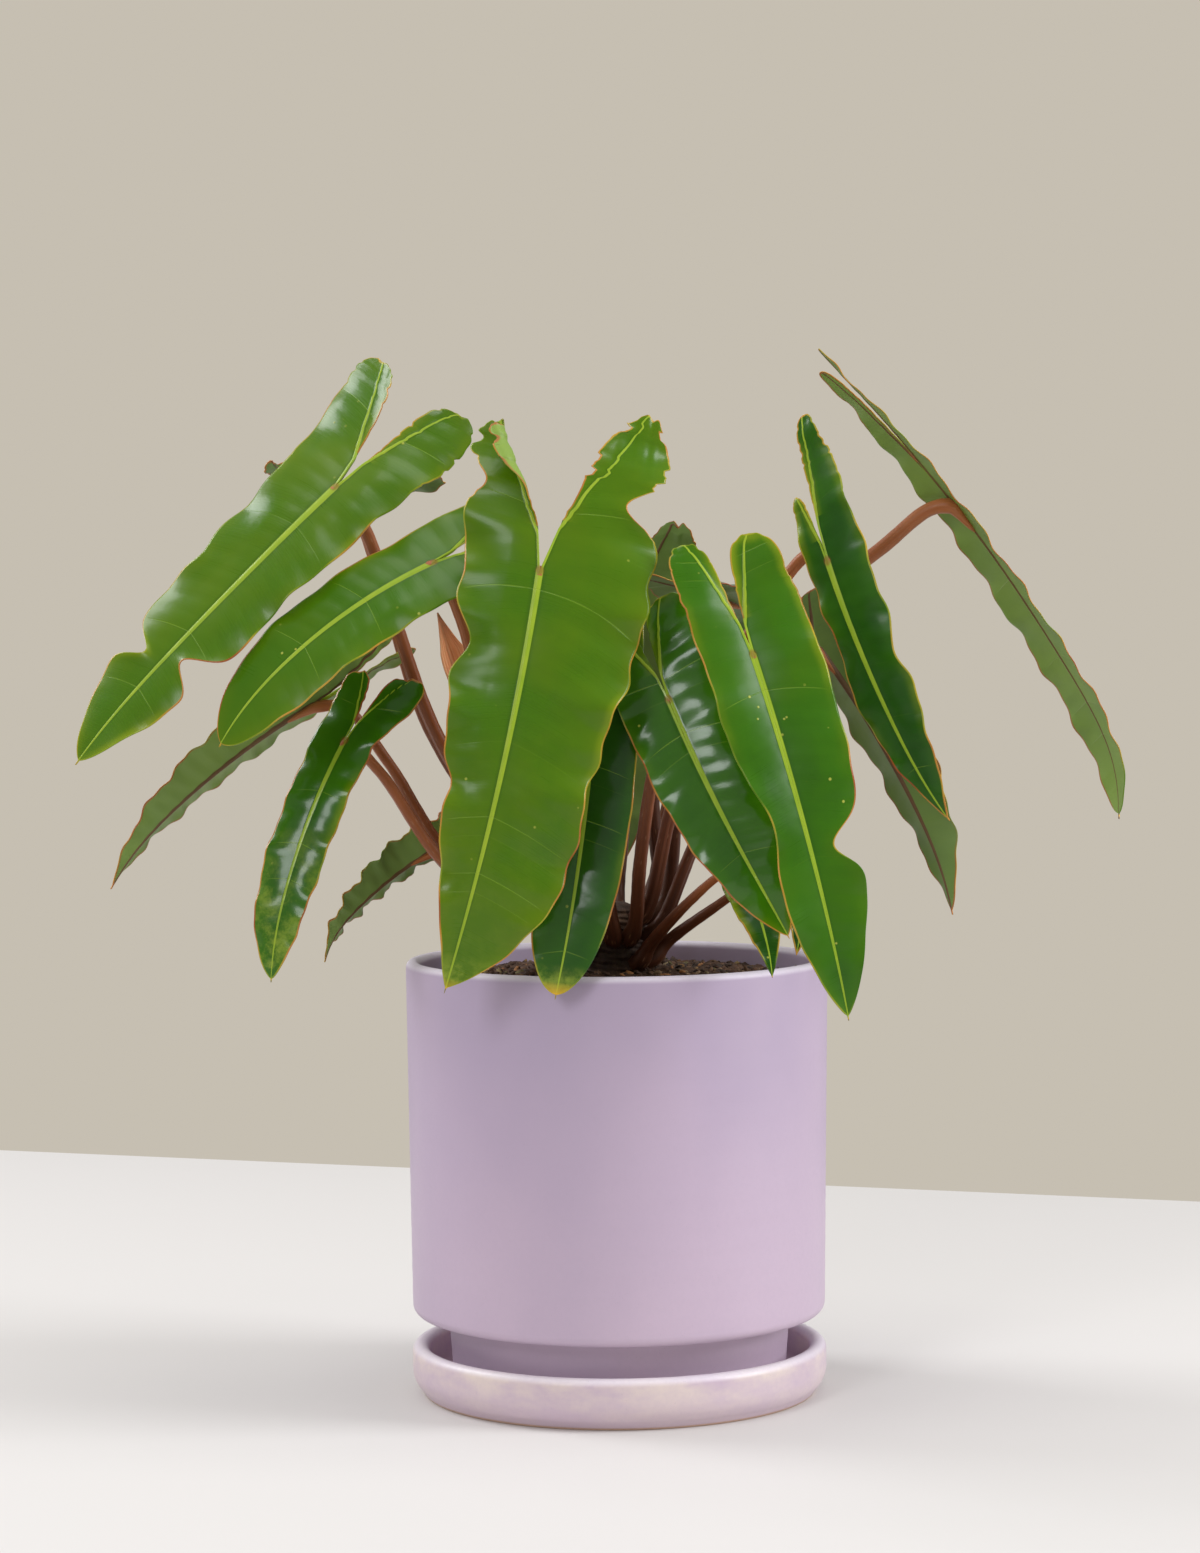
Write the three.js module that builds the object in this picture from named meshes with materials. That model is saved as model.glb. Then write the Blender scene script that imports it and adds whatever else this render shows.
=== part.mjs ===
// A potted philodendron: nineteen arrow-shaped leaves on arching stalks, in a glazed pot on a saucer.
// Millimetres, +Z up. The origin is the centre of the saucer's flat underside, on the pot's axis.
// The room side that the plant is dressed towards is -Y.
import * as THREE from "three";
import { mergeVertices } from "three/addons/utils/BufferGeometryUtils.js";

// ---- driving sizes ---------------------------------------------------------------------------------
const TOTAL_HEIGHT = 206; // saucer's underside to pot's rim
const POT_RADIUS = 100; // outside, at the rim
const POT_TAPER = 2; // how much smaller the radius is at the foot of the wall
const POT_WALL = 6.5;
const POT_FLOOR = 8;
const POT_EDGE = 5; // rounding where the wall turns under
const BODY_BOTTOM = 38; // height of the wall's lower edge above the table
const FOOT_RADIUS = 81;
const FOOT_TAPER = 2;
const DRAIN_RADIUS = 7;
const SAUCER_HEIGHT = 24;
const SAUCER_RADIUS = 98.5;
const SAUCER_BASE_RADIUS = 93;
const SAUCER_WALL = 8;
const SAUCER_FLOOR = 6;
const SOIL_BELOW_RIM = 6;
const SOIL_MOUND = 3; // how far the soil rises from the wall to the crown
const CROWN_RADIUS = 15;
const CROWN_HEIGHT = 33; // above the soil
const CROWN_BURIED = 16;
const STALK_BASE_RADIUS = 3.4;
const BLADE_THICKNESS = 1.2; // at the margin
const MIDRIB_EXTRA = 2; // added to the blade's thickness along the midrib at the stalk
const SHEATH_WIDTH = 10;
const SHEATH_THICKNESS = 3;
const FIT_GAP = 0.4; // clearance between pieces that touch

// ---- places worked out from the sizes --------------------------------------------------------------
const SOIL_TOP = TOTAL_HEIGHT - SOIL_BELOW_RIM;
const FOOT_BOTTOM = SAUCER_FLOOR + FIT_GAP;
const POT_INSIDE_FLOOR = FOOT_BOTTOM + POT_FLOOR;
const ROUND_SEGMENTS = 40;

// The way towards the room of a point on a leaf that hangs over the rim: that far outside it, or inside if
// it is less than 0.
const overRim = (clearance) => -(POT_RADIUS + clearance);

// ---- leaves ----------------------------------------------------------------------------------------
// Places are measured from the crown frame: the soil's surface on the pot's axis, X right, Y away, Z up.
// Pairs are [left, right], seen on the upper face with the tip down.
//   joint, tip   where the stalk meets the blade, and the blade's point
//   looks        the way the upper face looks
//   half         half the blade's width at the joint
//   narrows      how late each side's outline narrows to the tip
//   lobe         how far each basal lobe runs back from the joint
//   lobeOut      how far the middle of each lobe's end stands out from the midrib's line
//   lobeHalf     half the width of a lobe near its end
//   arch, sway   how far the midrib bows towards the face, and to the right
//   fold, curl   how far each side stands up from the midrib, and bends on to its margin: degrees
//   lift         how far the lobes' ends lift towards the face
//   waists       narrow places in the outline: [side, place along the midrib, depth, length]
//   node         the stalk's start on the crown: [bearing in degrees, height]
//   stalk        points that the stalk passes through on its way to the joint
//   thick        the stalk's radius at the joint
const LEAVES = [
  {
    name: "left_high", joint: [-126, -70, 227], tip: [-242, -95, 103], looks: [-0.35, -0.85, 0.45],
    half: [32, 29], narrows: [3.4, 3.4], lobe: [62, 63], lobeOut: [29, 20], lobeHalf: [11, 12],
    arch: 8, sway: 3, fold: [6, 10], curl: [-20, -24], lift: 4,
    waists: [[-1, 0.4, 0.3, 0.15], [-1, 0.67, 0.35, 0.05], [1, 0.36, 0.12, 0.2], [1, 0.63, 0.42, 0.05]],
    node: [-155, 17.5], stalk: [[-54, -20, 64], [-84, -33, 116], [-101, -44, 166], [-113, -54, 206]], thick: 3.2,
  },
  {
    name: "left_middle", joint: [-81, -95, 192], tip: [-176, -110, 111], looks: [-0.3, -0.85, 0.5],
    half: [22, 24], narrows: [4.4, 4.4], lobe: [40, 38], lobeOut: [15, 16], lobeHalf: [10, 10],
    arch: 8, sway: -5, fold: [5, 8], curl: [-16, -20], lift: 3,
    waists: [],
    node: [-143, 27], stalk: [[-43, -50, 84], [-60, -64, 132], [-70, -80, 170]], thick: 3,
  },
  {
    name: "front_large", joint: [-33, overRim(12), 188], tip: [-77, overRim(16), 1], looks: [0, -1, 0.15],
    half: [35, 51], narrows: [1.8, 4.4], lobe: [62, 78], lobeOut: [32, 38], lobeHalf: [11, 17],
    arch: 12, sway: 4, fold: [4, 4], curl: [-22, -26], lift: -4,
    waists: [
      [-1, 0.19, 0.22, 0.05], [-1, -0.22, -0.1, 0.05], [-1, 0.52, 0.12, 0.05],
      [1, -0.19, 0.4, 0.05], [1, 0.45, 0.2, 0.25],
    ],
    node: [-118, 27], stalk: [[-22, -50, 80], [-35, -78, 130], [-36, overRim(-2), 166]], thick: 3.2,
  },
  {
    name: "front_dark", joint: [-8, overRim(-25), 150], tip: [-28, overRim(8), -3], looks: [0.1, -1, 0.25],
    half: [22, 21], narrows: [4.5, 4.5], lobe: [36, 36], lobeOut: [14, 13], lobeHalf: [9, 9],
    arch: 5, sway: 3, fold: [6, 6], curl: [-30, -30], lift: 2,
    waists: [],
    node: [-95, 17.5], stalk: [[-6, -34, 52], [-5, -50, 94], [-5, overRim(-38), 130]], thick: 2.8,
  },
  {
    name: "right_glossy", joint: [24, overRim(-9), 130], tip: [77, overRim(3), 23], looks: [0.1, -1, 0.3],
    half: [23, 24], narrows: [2.8, 2.8], lobe: [44, 44], lobeOut: [16, 15], lobeHalf: [12, 12],
    arch: 8, sway: -4, fold: [14, 14], curl: [-34, -34], lift: 2,
    waists: [],
    node: [-68, 17.5], stalk: [[11, -40, 52], [16, -62, 90], [22, overRim(-20), 118]], thick: 2.8,
  },
  {
    name: "right_front", joint: [61, overRim(8), 150], tip: [102, overRim(22), -12], looks: [0, -1, 0.2],
    half: [25, 30], narrows: [3, 2.4], lobe: [56, 54], lobeOut: [17, 15], lobeHalf: [11, 12],
    arch: 8, sway: 2, fold: [34, 8], curl: [-20, -22], lift: 2,
    waists: [[1, 0.54, 0.55, 0.06], [-1, 0.46, 0.35, 0.14]],
    node: [-48, 27], stalk: [[27, -40, 82], [46, -70, 128], [57, overRim(-6), 146]], thick: 3,
  },
  {
    name: "right_shaded", joint: [95, -34, 152], tip: [155, -50, 29], looks: [0.7, 0.7, 0.5],
    half: [23, 21], narrows: [2.6, 2.6], lobe: [26, 24], lobeOut: [12, 12], lobeHalf: [8, 8],
    arch: 8, sway: 0, fold: [10, 10], curl: [-20, -20], lift: 2,
    waists: [],
    node: [-22, 17.5], stalk: [[40, -20, 67], [70, -30, 116], [86, -39, 142]], thick: 2.4,
  },
  {
    name: "right_tall", joint: [97, -70, 192], tip: [151, -80, 74], looks: [-0.6, -0.78, 0.15],
    half: [12, 20], narrows: [2.8, 2.8], lobe: [34, 66], lobeOut: [6, 11], lobeHalf: [4, 7],
    arch: 9, sway: 0, fold: [6, 6], curl: [-20, -20], lift: 0,
    waists: [[-1, 0.25, 0.2, 0.06], [-1, 0.62, -0.3, 0.2], [1, 0.38, 0.15, 0.06]],
    node: [3, 27], stalk: [[35, -28, 121], [58, -36, 152], [78, -42, 183], [89, -48, 195]], thick: 3,
  },
  {
    name: "right_far", joint: [161, -10, 219], tip: [236, -20, 71], looks: [0.75, 0.6, 0.4],
    half: [14, 14], narrows: [6, 6], lobe: [92, 84], lobeOut: [6, 6], lobeHalf: [4.5, 4.5],
    arch: 11, sway: 0, fold: [5, 5], curl: [-10, -10], lift: -8,
    waists: [],
    node: [32, 27], stalk: [[19, 0, 95], [40, -2, 132], [61, -4, 156], [88, -6, 172], [125, -8, 198], [149, -9, 217]],
    thick: 3.3,
  },
  {
    name: "left_low", joint: [-123, -70, 112], tip: [-156, -90, 4], looks: [-0.25, -0.9, 0.35],
    half: [15, 14], narrows: [5, 4], lobe: [34, 36], lobeOut: [5, 17], lobeHalf: [5, 10],
    arch: 7, sway: -3, fold: [14, 12], curl: [-30, -30], lift: 2,
    waists: [],
    node: [-162, 8], stalk: [[-77, -38, 51], [-108, -56, 97]], thick: 2.6,
  },
  {
    name: "left_far", joint: [-140, -30, 128], tip: [-233, -50, 44], looks: [-0.5, 0.55, 0.7],
    half: [17, 19], narrows: [2.6, 2.6], lobe: [54, 54], lobeOut: [12, 12], lobeHalf: [7, 7],
    arch: 8, sway: 0, fold: [12, 12], curl: [-20, -20], lift: 2,
    waists: [],
    node: [-178, 17.5], stalk: [[-75, -13, 52], [-106, -22, 100], [-126, -26, 126]], thick: 2.6,
  },
  {
    name: "left_small", joint: [-86, 0, 58], tip: [-136, -34, 8], looks: [-0.5, 0.5, 0.7],
    half: [15, 16], narrows: [2.6, 2.6], lobe: [24, 24], lobeOut: [8, 8], lobeHalf: [6, 6],
    arch: 6, sway: 0, fold: [12, 12], curl: [-24, -24], lift: 2,
    waists: [],
    node: [170, 8], stalk: [[-52, 6, 32], [-79, 4, 55]], thick: 2.2,
  },
  {
    name: "back_left", joint: [-130, 22, 232], tip: [-178, 120, 172], looks: [-0.11, 0.48, 0.87],
    half: [26, 26], narrows: [2.6, 2.6], lobe: [28, 32], lobeOut: [40, 48], lobeHalf: [9, 8],
    arch: 10, sway: 0, fold: [4, 4], curl: [-14, -14], lift: 4,
    waists: [],
    node: [160, 27], stalk: [[-52, 4, 60], [-88, 6, 115], [-105, 8, 166], [-120, 12, 214]], thick: 3,
  },
  {
    name: "back_centre", joint: [5, 72, 158], tip: [0, 106, 34], looks: [0, 1, 0.25],
    half: [28, 28], narrows: [2.4, 2.4], lobe: [62, 62], lobeOut: [24, 24], lobeHalf: [15, 15],
    arch: 8, sway: 0, fold: [6, 6], curl: [-24, -24], lift: 2,
    waists: [],
    node: [88, 27], stalk: [[6, 44, 90], [8, 60, 140]], thick: 3,
  },
  {
    name: "back_right", joint: [52, 24, 176], tip: [112, 90, 124], looks: [0.1, 0.2, 1],
    half: [24, 24], narrows: [2.6, 2.6], lobe: [44, 44], lobeOut: [18, 18], lobeHalf: [11, 11],
    arch: 8, sway: 0, fold: [8, 8], curl: [-20, -20], lift: 2,
    waists: [],
    node: [50, 17.5], stalk: [[26, 24, 80], [42, 26, 140], [49, 24, 166]], thick: 2.8,
  },
  {
    name: "back_low_left", joint: [-42, 56, 118], tip: [-66, 112, 20], looks: [-0.3, 0.9, 0.35],
    half: [19, 19], narrows: [2.8, 2.8], lobe: [36, 36], lobeOut: [14, 14], lobeHalf: [9, 9],
    arch: 8, sway: 0, fold: [10, 10], curl: [-20, -20], lift: 2,
    waists: [],
    node: [122, 17.5], stalk: [[-20, 28, 52], [-35, 45, 98]], thick: 2.6,
  },
  {
    name: "back_low_right", joint: [56, 50, 122], tip: [84, 112, 30], looks: [0.3, 0.9, 0.35],
    half: [19, 19], narrows: [2.8, 2.8], lobe: [36, 36], lobeOut: [14, 14], lobeHalf: [9, 9],
    arch: 8, sway: 0, fold: [10, 10], curl: [-20, -20], lift: 2,
    waists: [],
    node: [66, 6], stalk: [[22, 34, 50], [46, 42, 102]], thick: 2.6,
  },
  {
    name: "right_small", joint: [58, overRim(-32), 52], tip: [69, overRim(7), 6], looks: [0.2, -1, 0.5],
    half: [13, 13], narrows: [2, 2], lobe: [18, 18], lobeOut: [8, 8], lobeHalf: [5, 5],
    arch: 4, sway: 0, fold: [10, 10], curl: [-20, -20], lift: 1,
    waists: [],
    node: [-50, 6], stalk: [[34, -45, 36], [50, overRim(-40), 50]], thick: 1.8,
  },
  {
    name: "right_smallest", joint: [84, -40, 54], tip: [82, -64, 12], looks: [0.3, -1, 0.4],
    half: [10, 10], narrows: [2, 2], lobe: [14, 14], lobeOut: [6, 6], lobeHalf: [4, 4],
    arch: 3, sway: 0, fold: [10, 10], curl: [-20, -20], lift: 1,
    waists: [],
    node: [-5, 6], stalk: [[46, -12, 30], [74, -32, 50]], thick: 1.6,
  },
];

// The line of the papery sheath, from the crown's side up to its tip.
const SHEATH_BEARING = THREE.MathUtils.degToRad(-128.9);
const SHEATH_AWAY = CROWN_RADIUS + FIT_GAP + SHEATH_THICKNESS * 1.5;
const SHEATH_LINE = [
  [SHEATH_AWAY * Math.cos(SHEATH_BEARING), SHEATH_AWAY * Math.sin(SHEATH_BEARING), 9],
  [-34, -28, 42], [-54, -36, 84], [-70, -46, 134], [-81, -55, 170],
];

// ---- colours ---------------------------------------------------------------------------------------
const finish = (color, roughness) => new THREE.MeshStandardMaterial({ color, roughness, metalness: 0 });
const GLAZE = finish(0xc3b2cc, 0.35);
const PEAT = finish(0x3d2a1c, 0.95);
const BARK = finish(0x33231a, 0.85);
const STALK = finish(0x8a4630, 0.45);
const SHEATH = finish(0xd98a62, 0.6);
const LEAF = finish(0x3f7d1d, 0.35);

// ---- shared shape helpers --------------------------------------------------------------------------
const UP = new THREE.Vector3(0, 0, 1);
const vec = (p) => new THREE.Vector3(...p);
const radians = THREE.MathUtils.degToRad;

// A solid of revolution about Z from [radius, height] points that start and end on the axis or close on
// themselves, going so that the material lies on the left.
function turned(profile) {
  const points = profile.map(([r, z]) => new THREE.Vector2(r, z));
  return new THREE.LatheGeometry(points, ROUND_SEGMENTS).rotateX(Math.PI / 2);
}

// Points on a quarter turn from angle a to angle b (degrees) about [r, z].
function arc(r, z, radius, a, b, steps = 3) {
  return Array.from({ length: steps + 1 }, (_, i) => {
    const t = radians(a + ((b - a) * i) / steps);
    return [r + radius * Math.cos(t), z + radius * Math.sin(t)];
  });
}

// Collects triangles of points, leaves out those that have shrunk to a line, and welds the corners.
class Skin {
  corners = [];
  triangle(a, b, c) {
    const same = (p, q) => p.distanceToSquared(q) < 1e-8;
    if (same(a, b) || same(b, c) || same(c, a)) return;
    for (const p of [a, b, c]) this.corners.push(p.x, p.y, p.z);
  }
  quad(a, b, c, d) {
    this.triangle(a, b, c);
    this.triangle(a, c, d);
  }
  geometry() {
    const made = new THREE.BufferGeometry();
    made.setAttribute("position", new THREE.Float32BufferAttribute(this.corners, 3));
    const welded = mergeVertices(made, 1e-4);
    welded.computeVertexNormals();
    return welded;
  }
}

// ---- pot, saucer, soil, crown ----------------------------------------------------------------------
function potGeometry() {
  const rim = POT_WALL / 2;
  const outer = POT_RADIUS - POT_TAPER;
  const inner = outer - POT_WALL;
  const foot = FOOT_RADIUS - FOOT_TAPER;
  return turned([
    [DRAIN_RADIUS, POT_INSIDE_FLOOR],
    [DRAIN_RADIUS, FOOT_BOTTOM],
    [foot, FOOT_BOTTOM],
    [FOOT_RADIUS, BODY_BOTTOM],
    ...arc(outer - POT_EDGE, BODY_BOTTOM + POT_EDGE, POT_EDGE, -90, 0),
    ...arc(POT_RADIUS - rim, TOTAL_HEIGHT - rim, rim, 0, 180, 4),
    [inner, BODY_BOTTOM + POT_FLOOR],
    [foot - POT_FLOOR, BODY_BOTTOM],
    [foot - POT_FLOOR, POT_INSIDE_FLOOR],
    [DRAIN_RADIUS, POT_INSIDE_FLOOR],
  ]);
}

function saucerGeometry() {
  const rim = SAUCER_WALL / 2;
  const inner = SAUCER_RADIUS - SAUCER_WALL;
  return turned([
    [0, 0],
    [SAUCER_BASE_RADIUS, 0],
    ...arc(SAUCER_RADIUS - 8, 9, 8, -40, 0, 2),
    ...arc(SAUCER_RADIUS - rim, SAUCER_HEIGHT - rim, rim, 0, 180, 4),
    [inner, SAUCER_FLOOR + 3],
    [inner - 3, SAUCER_FLOOR],
    [0, SAUCER_FLOOR],
  ]);
}

// The soil fills the pot up to below the rim, with a socket round the crown's buried end.
function soilGeometry() {
  const top = SOIL_TOP - SOIL_MOUND;
  const wide = POT_RADIUS - POT_WALL - POT_TAPER - FIT_GAP;
  const narrow = FOOT_RADIUS - FOOT_TAPER - POT_FLOOR - FIT_GAP;
  const socket = CROWN_RADIUS + FIT_GAP;
  const shoulder = BODY_BOTTOM + POT_FLOOR + FIT_GAP;
  return turned([
    [0, POT_INSIDE_FLOOR + FIT_GAP],
    [narrow, POT_INSIDE_FLOOR + FIT_GAP],
    [narrow, BODY_BOTTOM + FIT_GAP],
    [wide, shoulder],
    [wide, top],
    [wide * 0.5, SOIL_TOP - SOIL_MOUND * 0.35],
    [socket, SOIL_TOP],
    [socket, SOIL_TOP - CROWN_BURIED],
    [0, SOIL_TOP - CROWN_BURIED],
  ]);
}

function crownGeometry() {
  const low = SOIL_TOP - CROWN_BURIED + FIT_GAP;
  return turned([
    [0, low],
    [CROWN_RADIUS * 0.8, low],
    [CROWN_RADIUS, SOIL_TOP - 4],
    [CROWN_RADIUS, SOIL_TOP + CROWN_HEIGHT - 8],
    [CROWN_RADIUS * 0.7, SOIL_TOP + CROWN_HEIGHT - 2],
    [0, SOIL_TOP + CROWN_HEIGHT],
  ]);
}

// ---- leaf blades -----------------------------------------------------------------------------------
const SIDES = { left: -1, right: 1 };
const BODY_ROWS = 9;
const LOBE_ROWS = 4;
const COLUMNS = [0, 0.12, 0.55, 1]; // share of the way from the midrib to the margin

// The frame of a leaf: its chord from joint to tip, the way its face looks, and its right-hand way.
function leafFrame(leaf) {
  const joint = vec(leaf.joint);
  const chord = vec(leaf.tip).sub(joint);
  const length = chord.length();
  const along = chord.normalize();
  const face = vec(leaf.looks).addScaledVector(along, -vec(leaf.looks).dot(along)).normalize();
  return { joint, length, along, face, across: face.clone().cross(along) };
}

// Where the blade's cut edges lie at place t on side s, as distances from the midrib's line: the inner
// edge is 0 along the blade and the sinus's edge along a lobe.
function edges(leaf, length, s, t) {
  const i = s < 0 ? 0 : 1;
  const waist = leaf.waists
    .filter(([side]) => side === s)
    .reduce((keep, [, at, depth, wide]) => keep * (1 - depth * Math.exp(-(((t - at) / wide) ** 2))), 1);
  if (t >= 0) return [0, leaf.half[i] * (1 - t ** leaf.narrows[i]) * waist];
  const q = Math.min(1, (-t * length) / leaf.lobe[i]);
  const middle = leaf.lobeOut[i] * q + (leaf.half[i] / 2) * (1 - q);
  const half = (leaf.half[i] / 2) * (1 - q) + leaf.lobeHalf[i] * q;
  const round = Math.sqrt(1 - q ** 6);
  const inner = middle - half * (1 - q + q * round);
  return [inner, inner + (middle + half * round - inner) * waist];
}

// A point of the blade's middle surface at place t, distance y from the midrib on side s, and the
// surface's way up there.
function bladePoint(leaf, frame, s, t, y) {
  const i = s < 0 ? 0 : 1;
  const bow = t > 0 ? 4 * t * (1 - t) : 4 * t;
  const back = t < 0 ? (-t * frame.length) / leaf.lobe[i] : 0;
  const fold = radians(leaf.fold[i] * (1 - 0.4 * Math.max(t, 0)));
  const bend = radians(leaf.curl[i]) / leaf.half[i];
  const angle = fold + bend * y;
  const sideways = (Math.sin(angle) - Math.sin(fold)) / bend;
  const upwards = (Math.cos(fold) - Math.cos(angle)) / bend;
  const point = frame.joint.clone()
    .addScaledVector(frame.along, t * frame.length)
    .addScaledVector(frame.face, leaf.arch * bow + leaf.lift * back ** 2 + upwards)
    .addScaledVector(frame.across, leaf.sway * bow + s * sideways);
  const lean = y > 0 ? angle : 0;
  const normal = frame.face.clone().multiplyScalar(Math.cos(lean)).addScaledVector(frame.across, -s * Math.sin(lean));
  return { point, normal };
}

// One blade as a closed sheet: an upper and a lower skin over rows from the lobes' ends to the tip, and
// walls along its outer margins and along the sinus.
function bladeGeometry(leaf) {
  const frame = leafFrame(leaf);
  const skin = new Skin();
  for (const s of Object.values(SIDES)) {
    const lobe = leaf.lobe[s < 0 ? 0 : 1] / frame.length;
    const places = [];
    for (let i = LOBE_ROWS; i > 0; i--) places.push(-lobe * (i / LOBE_ROWS) ** 0.8);
    for (let i = 0; i <= BODY_ROWS; i++) places.push(i / BODY_ROWS);
    const rows = places.map((t) => {
      const [inner, outer] = edges(leaf, frame.length, s, t);
      return COLUMNS.map((v) => {
        const { point, normal } = bladePoint(leaf, frame, s, t, inner + (outer - inner) * v);
        const rib = MIDRIB_EXTRA * (1 - v) ** 6 * (t < 0 ? 1 + t / lobe : 1 - t);
        const half = (BLADE_THICKNESS + rib) / 2;
        return [point.clone().addScaledVector(normal, half), point.clone().addScaledVector(normal, -half)];
      });
    });
    const wall = (a, b, c, d) => (s > 0 ? skin.quad(a, b, c, d) : skin.quad(d, c, b, a));
    const last = COLUMNS.length - 1;
    for (let i = 0; i + 1 < rows.length; i++) {
      const [near, far] = [rows[i], rows[i + 1]];
      for (let k = 0; k < last; k++) {
        wall(near[k][0], far[k][0], far[k + 1][0], near[k + 1][0]);
        wall(near[k][1], near[k + 1][1], far[k + 1][1], far[k][1]);
      }
      wall(near[last][0], far[last][0], far[last][1], near[last][1]);
      if (i < LOBE_ROWS) wall(near[0][0], near[0][1], far[0][1], far[0][0]);
    }
  }
  return skin.geometry();
}

// ---- stalks ----------------------------------------------------------------------------------------
const STALK_SIDES = 8;
const STALK_STEPS = 11;

// A tapering bar along a smooth curve, closed by a flat start and a narrowed end; flat makes its section
// an ellipse.
function taperedBar(points, startRadius, endRadius, flat = 1) {
  const curve = new THREE.CatmullRomCurve3(points, false, "centripetal");
  const { normals, binormals } = curve.computeFrenetFrames(STALK_STEPS, false);
  const skin = new Skin();
  const rings = [];
  for (let i = 0; i <= STALK_STEPS; i++) {
    const u = i / STALK_STEPS;
    const radius = (startRadius + (endRadius - startRadius) * Math.min(1, u * 1.3)) * (i === STALK_STEPS ? 0.55 : 1);
    const centre = curve.getPointAt(u);
    rings.push(
      Array.from({ length: STALK_SIDES }, (_, k) => {
        const a = (2 * Math.PI * k) / STALK_SIDES;
        return centre.clone()
          .addScaledVector(normals[i], flat * radius * Math.cos(a))
          .addScaledVector(binormals[i], radius * Math.sin(a));
      }),
    );
  }
  const next = (k) => (k + 1) % STALK_SIDES;
  for (let i = 0; i < STALK_STEPS; i++)
    for (let k = 0; k < STALK_SIDES; k++)
      skin.quad(rings[i][k], rings[i][next(k)], rings[i + 1][next(k)], rings[i + 1][k]);
  for (let k = 1; k + 1 < STALK_SIDES; k++) {
    skin.triangle(rings[0][0], rings[0][k + 1], rings[0][k]);
    skin.triangle(rings[STALK_STEPS][0], rings[STALK_STEPS][k], rings[STALK_STEPS][k + 1]);
  }
  return skin.geometry();
}

// A leaf's stalk leaves the crown's side at its node and ends just behind the blade's midrib.
function stalkGeometry(leaf) {
  const { joint, face } = leafFrame(leaf);
  const [bearing, height] = leaf.node;
  const away = (distance, up) => new THREE.Vector3(distance, 0, height + up).applyAxisAngle(UP, radians(bearing));
  const start = away(CROWN_RADIUS + FIT_GAP + STALK_BASE_RADIUS * 0.8, 0);
  const rise = away(CROWN_RADIUS + 9, 7);
  const behind = (BLADE_THICKNESS + MIDRIB_EXTRA) / 2 + FIT_GAP + leaf.thick * 0.5;
  const end = joint.clone().addScaledVector(face, -behind);
  return taperedBar([start, rise, ...leaf.stalk.map(vec), end], STALK_BASE_RADIUS, leaf.thick);
}

// The papery sheath that a young leaf leaves behind: a flattened strip standing beside the left stalks.
function sheathGeometry() {
  return taperedBar(SHEATH_LINE.map(vec), SHEATH_WIDTH / 2, SHEATH_WIDTH / 8, SHEATH_THICKNESS / SHEATH_WIDTH);
}

// ---- the object ------------------------------------------------------------------------------------
function named(name, geometry, material) {
  const mesh = new THREE.Mesh(geometry, material);
  mesh.name = name;
  return mesh;
}

const plant = new THREE.Group();
plant.position.z = SOIL_TOP;
for (const leaf of LEAVES) {
  plant.add(named(`${leaf.name}_blade`, bladeGeometry(leaf), LEAF));
  plant.add(named(`${leaf.name}_stalk`, stalkGeometry(leaf), STALK));
}

plant.add(named("sheath", sheathGeometry(), SHEATH));

const potted = new THREE.Group();
potted.add(
  named("saucer", saucerGeometry(), GLAZE),
  named("pot", potGeometry(), GLAZE),
  named("soil", soilGeometry(), PEAT),
  named("crown", crownGeometry(), BARK),
  plant,
);

export default potted;
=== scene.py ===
# A potted philodendron: glossy arrow-shaped leaves on reddish stalks, in a lavender glazed pot on a saucer.
import math

import bpy
import numpy as np
from mathutils import Matrix, Vector


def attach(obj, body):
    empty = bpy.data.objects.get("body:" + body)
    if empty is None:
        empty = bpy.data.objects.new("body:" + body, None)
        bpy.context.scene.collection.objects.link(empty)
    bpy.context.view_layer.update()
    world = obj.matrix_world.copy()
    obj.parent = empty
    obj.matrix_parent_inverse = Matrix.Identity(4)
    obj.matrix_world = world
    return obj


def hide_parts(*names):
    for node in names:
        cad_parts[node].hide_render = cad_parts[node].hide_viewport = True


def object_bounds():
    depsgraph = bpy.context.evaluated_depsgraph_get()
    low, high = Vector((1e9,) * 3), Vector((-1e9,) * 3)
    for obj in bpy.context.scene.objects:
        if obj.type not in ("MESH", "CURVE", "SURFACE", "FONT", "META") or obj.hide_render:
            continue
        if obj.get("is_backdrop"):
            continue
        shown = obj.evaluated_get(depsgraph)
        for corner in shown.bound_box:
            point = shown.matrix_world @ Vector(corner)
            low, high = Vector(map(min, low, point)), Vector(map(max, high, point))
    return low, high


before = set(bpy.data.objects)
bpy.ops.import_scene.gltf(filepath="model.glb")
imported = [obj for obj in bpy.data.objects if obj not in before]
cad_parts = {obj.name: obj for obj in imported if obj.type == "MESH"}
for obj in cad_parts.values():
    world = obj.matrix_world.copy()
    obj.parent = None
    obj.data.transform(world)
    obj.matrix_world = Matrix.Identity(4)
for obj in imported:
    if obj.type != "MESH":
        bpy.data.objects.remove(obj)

CAD_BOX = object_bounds()

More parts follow.
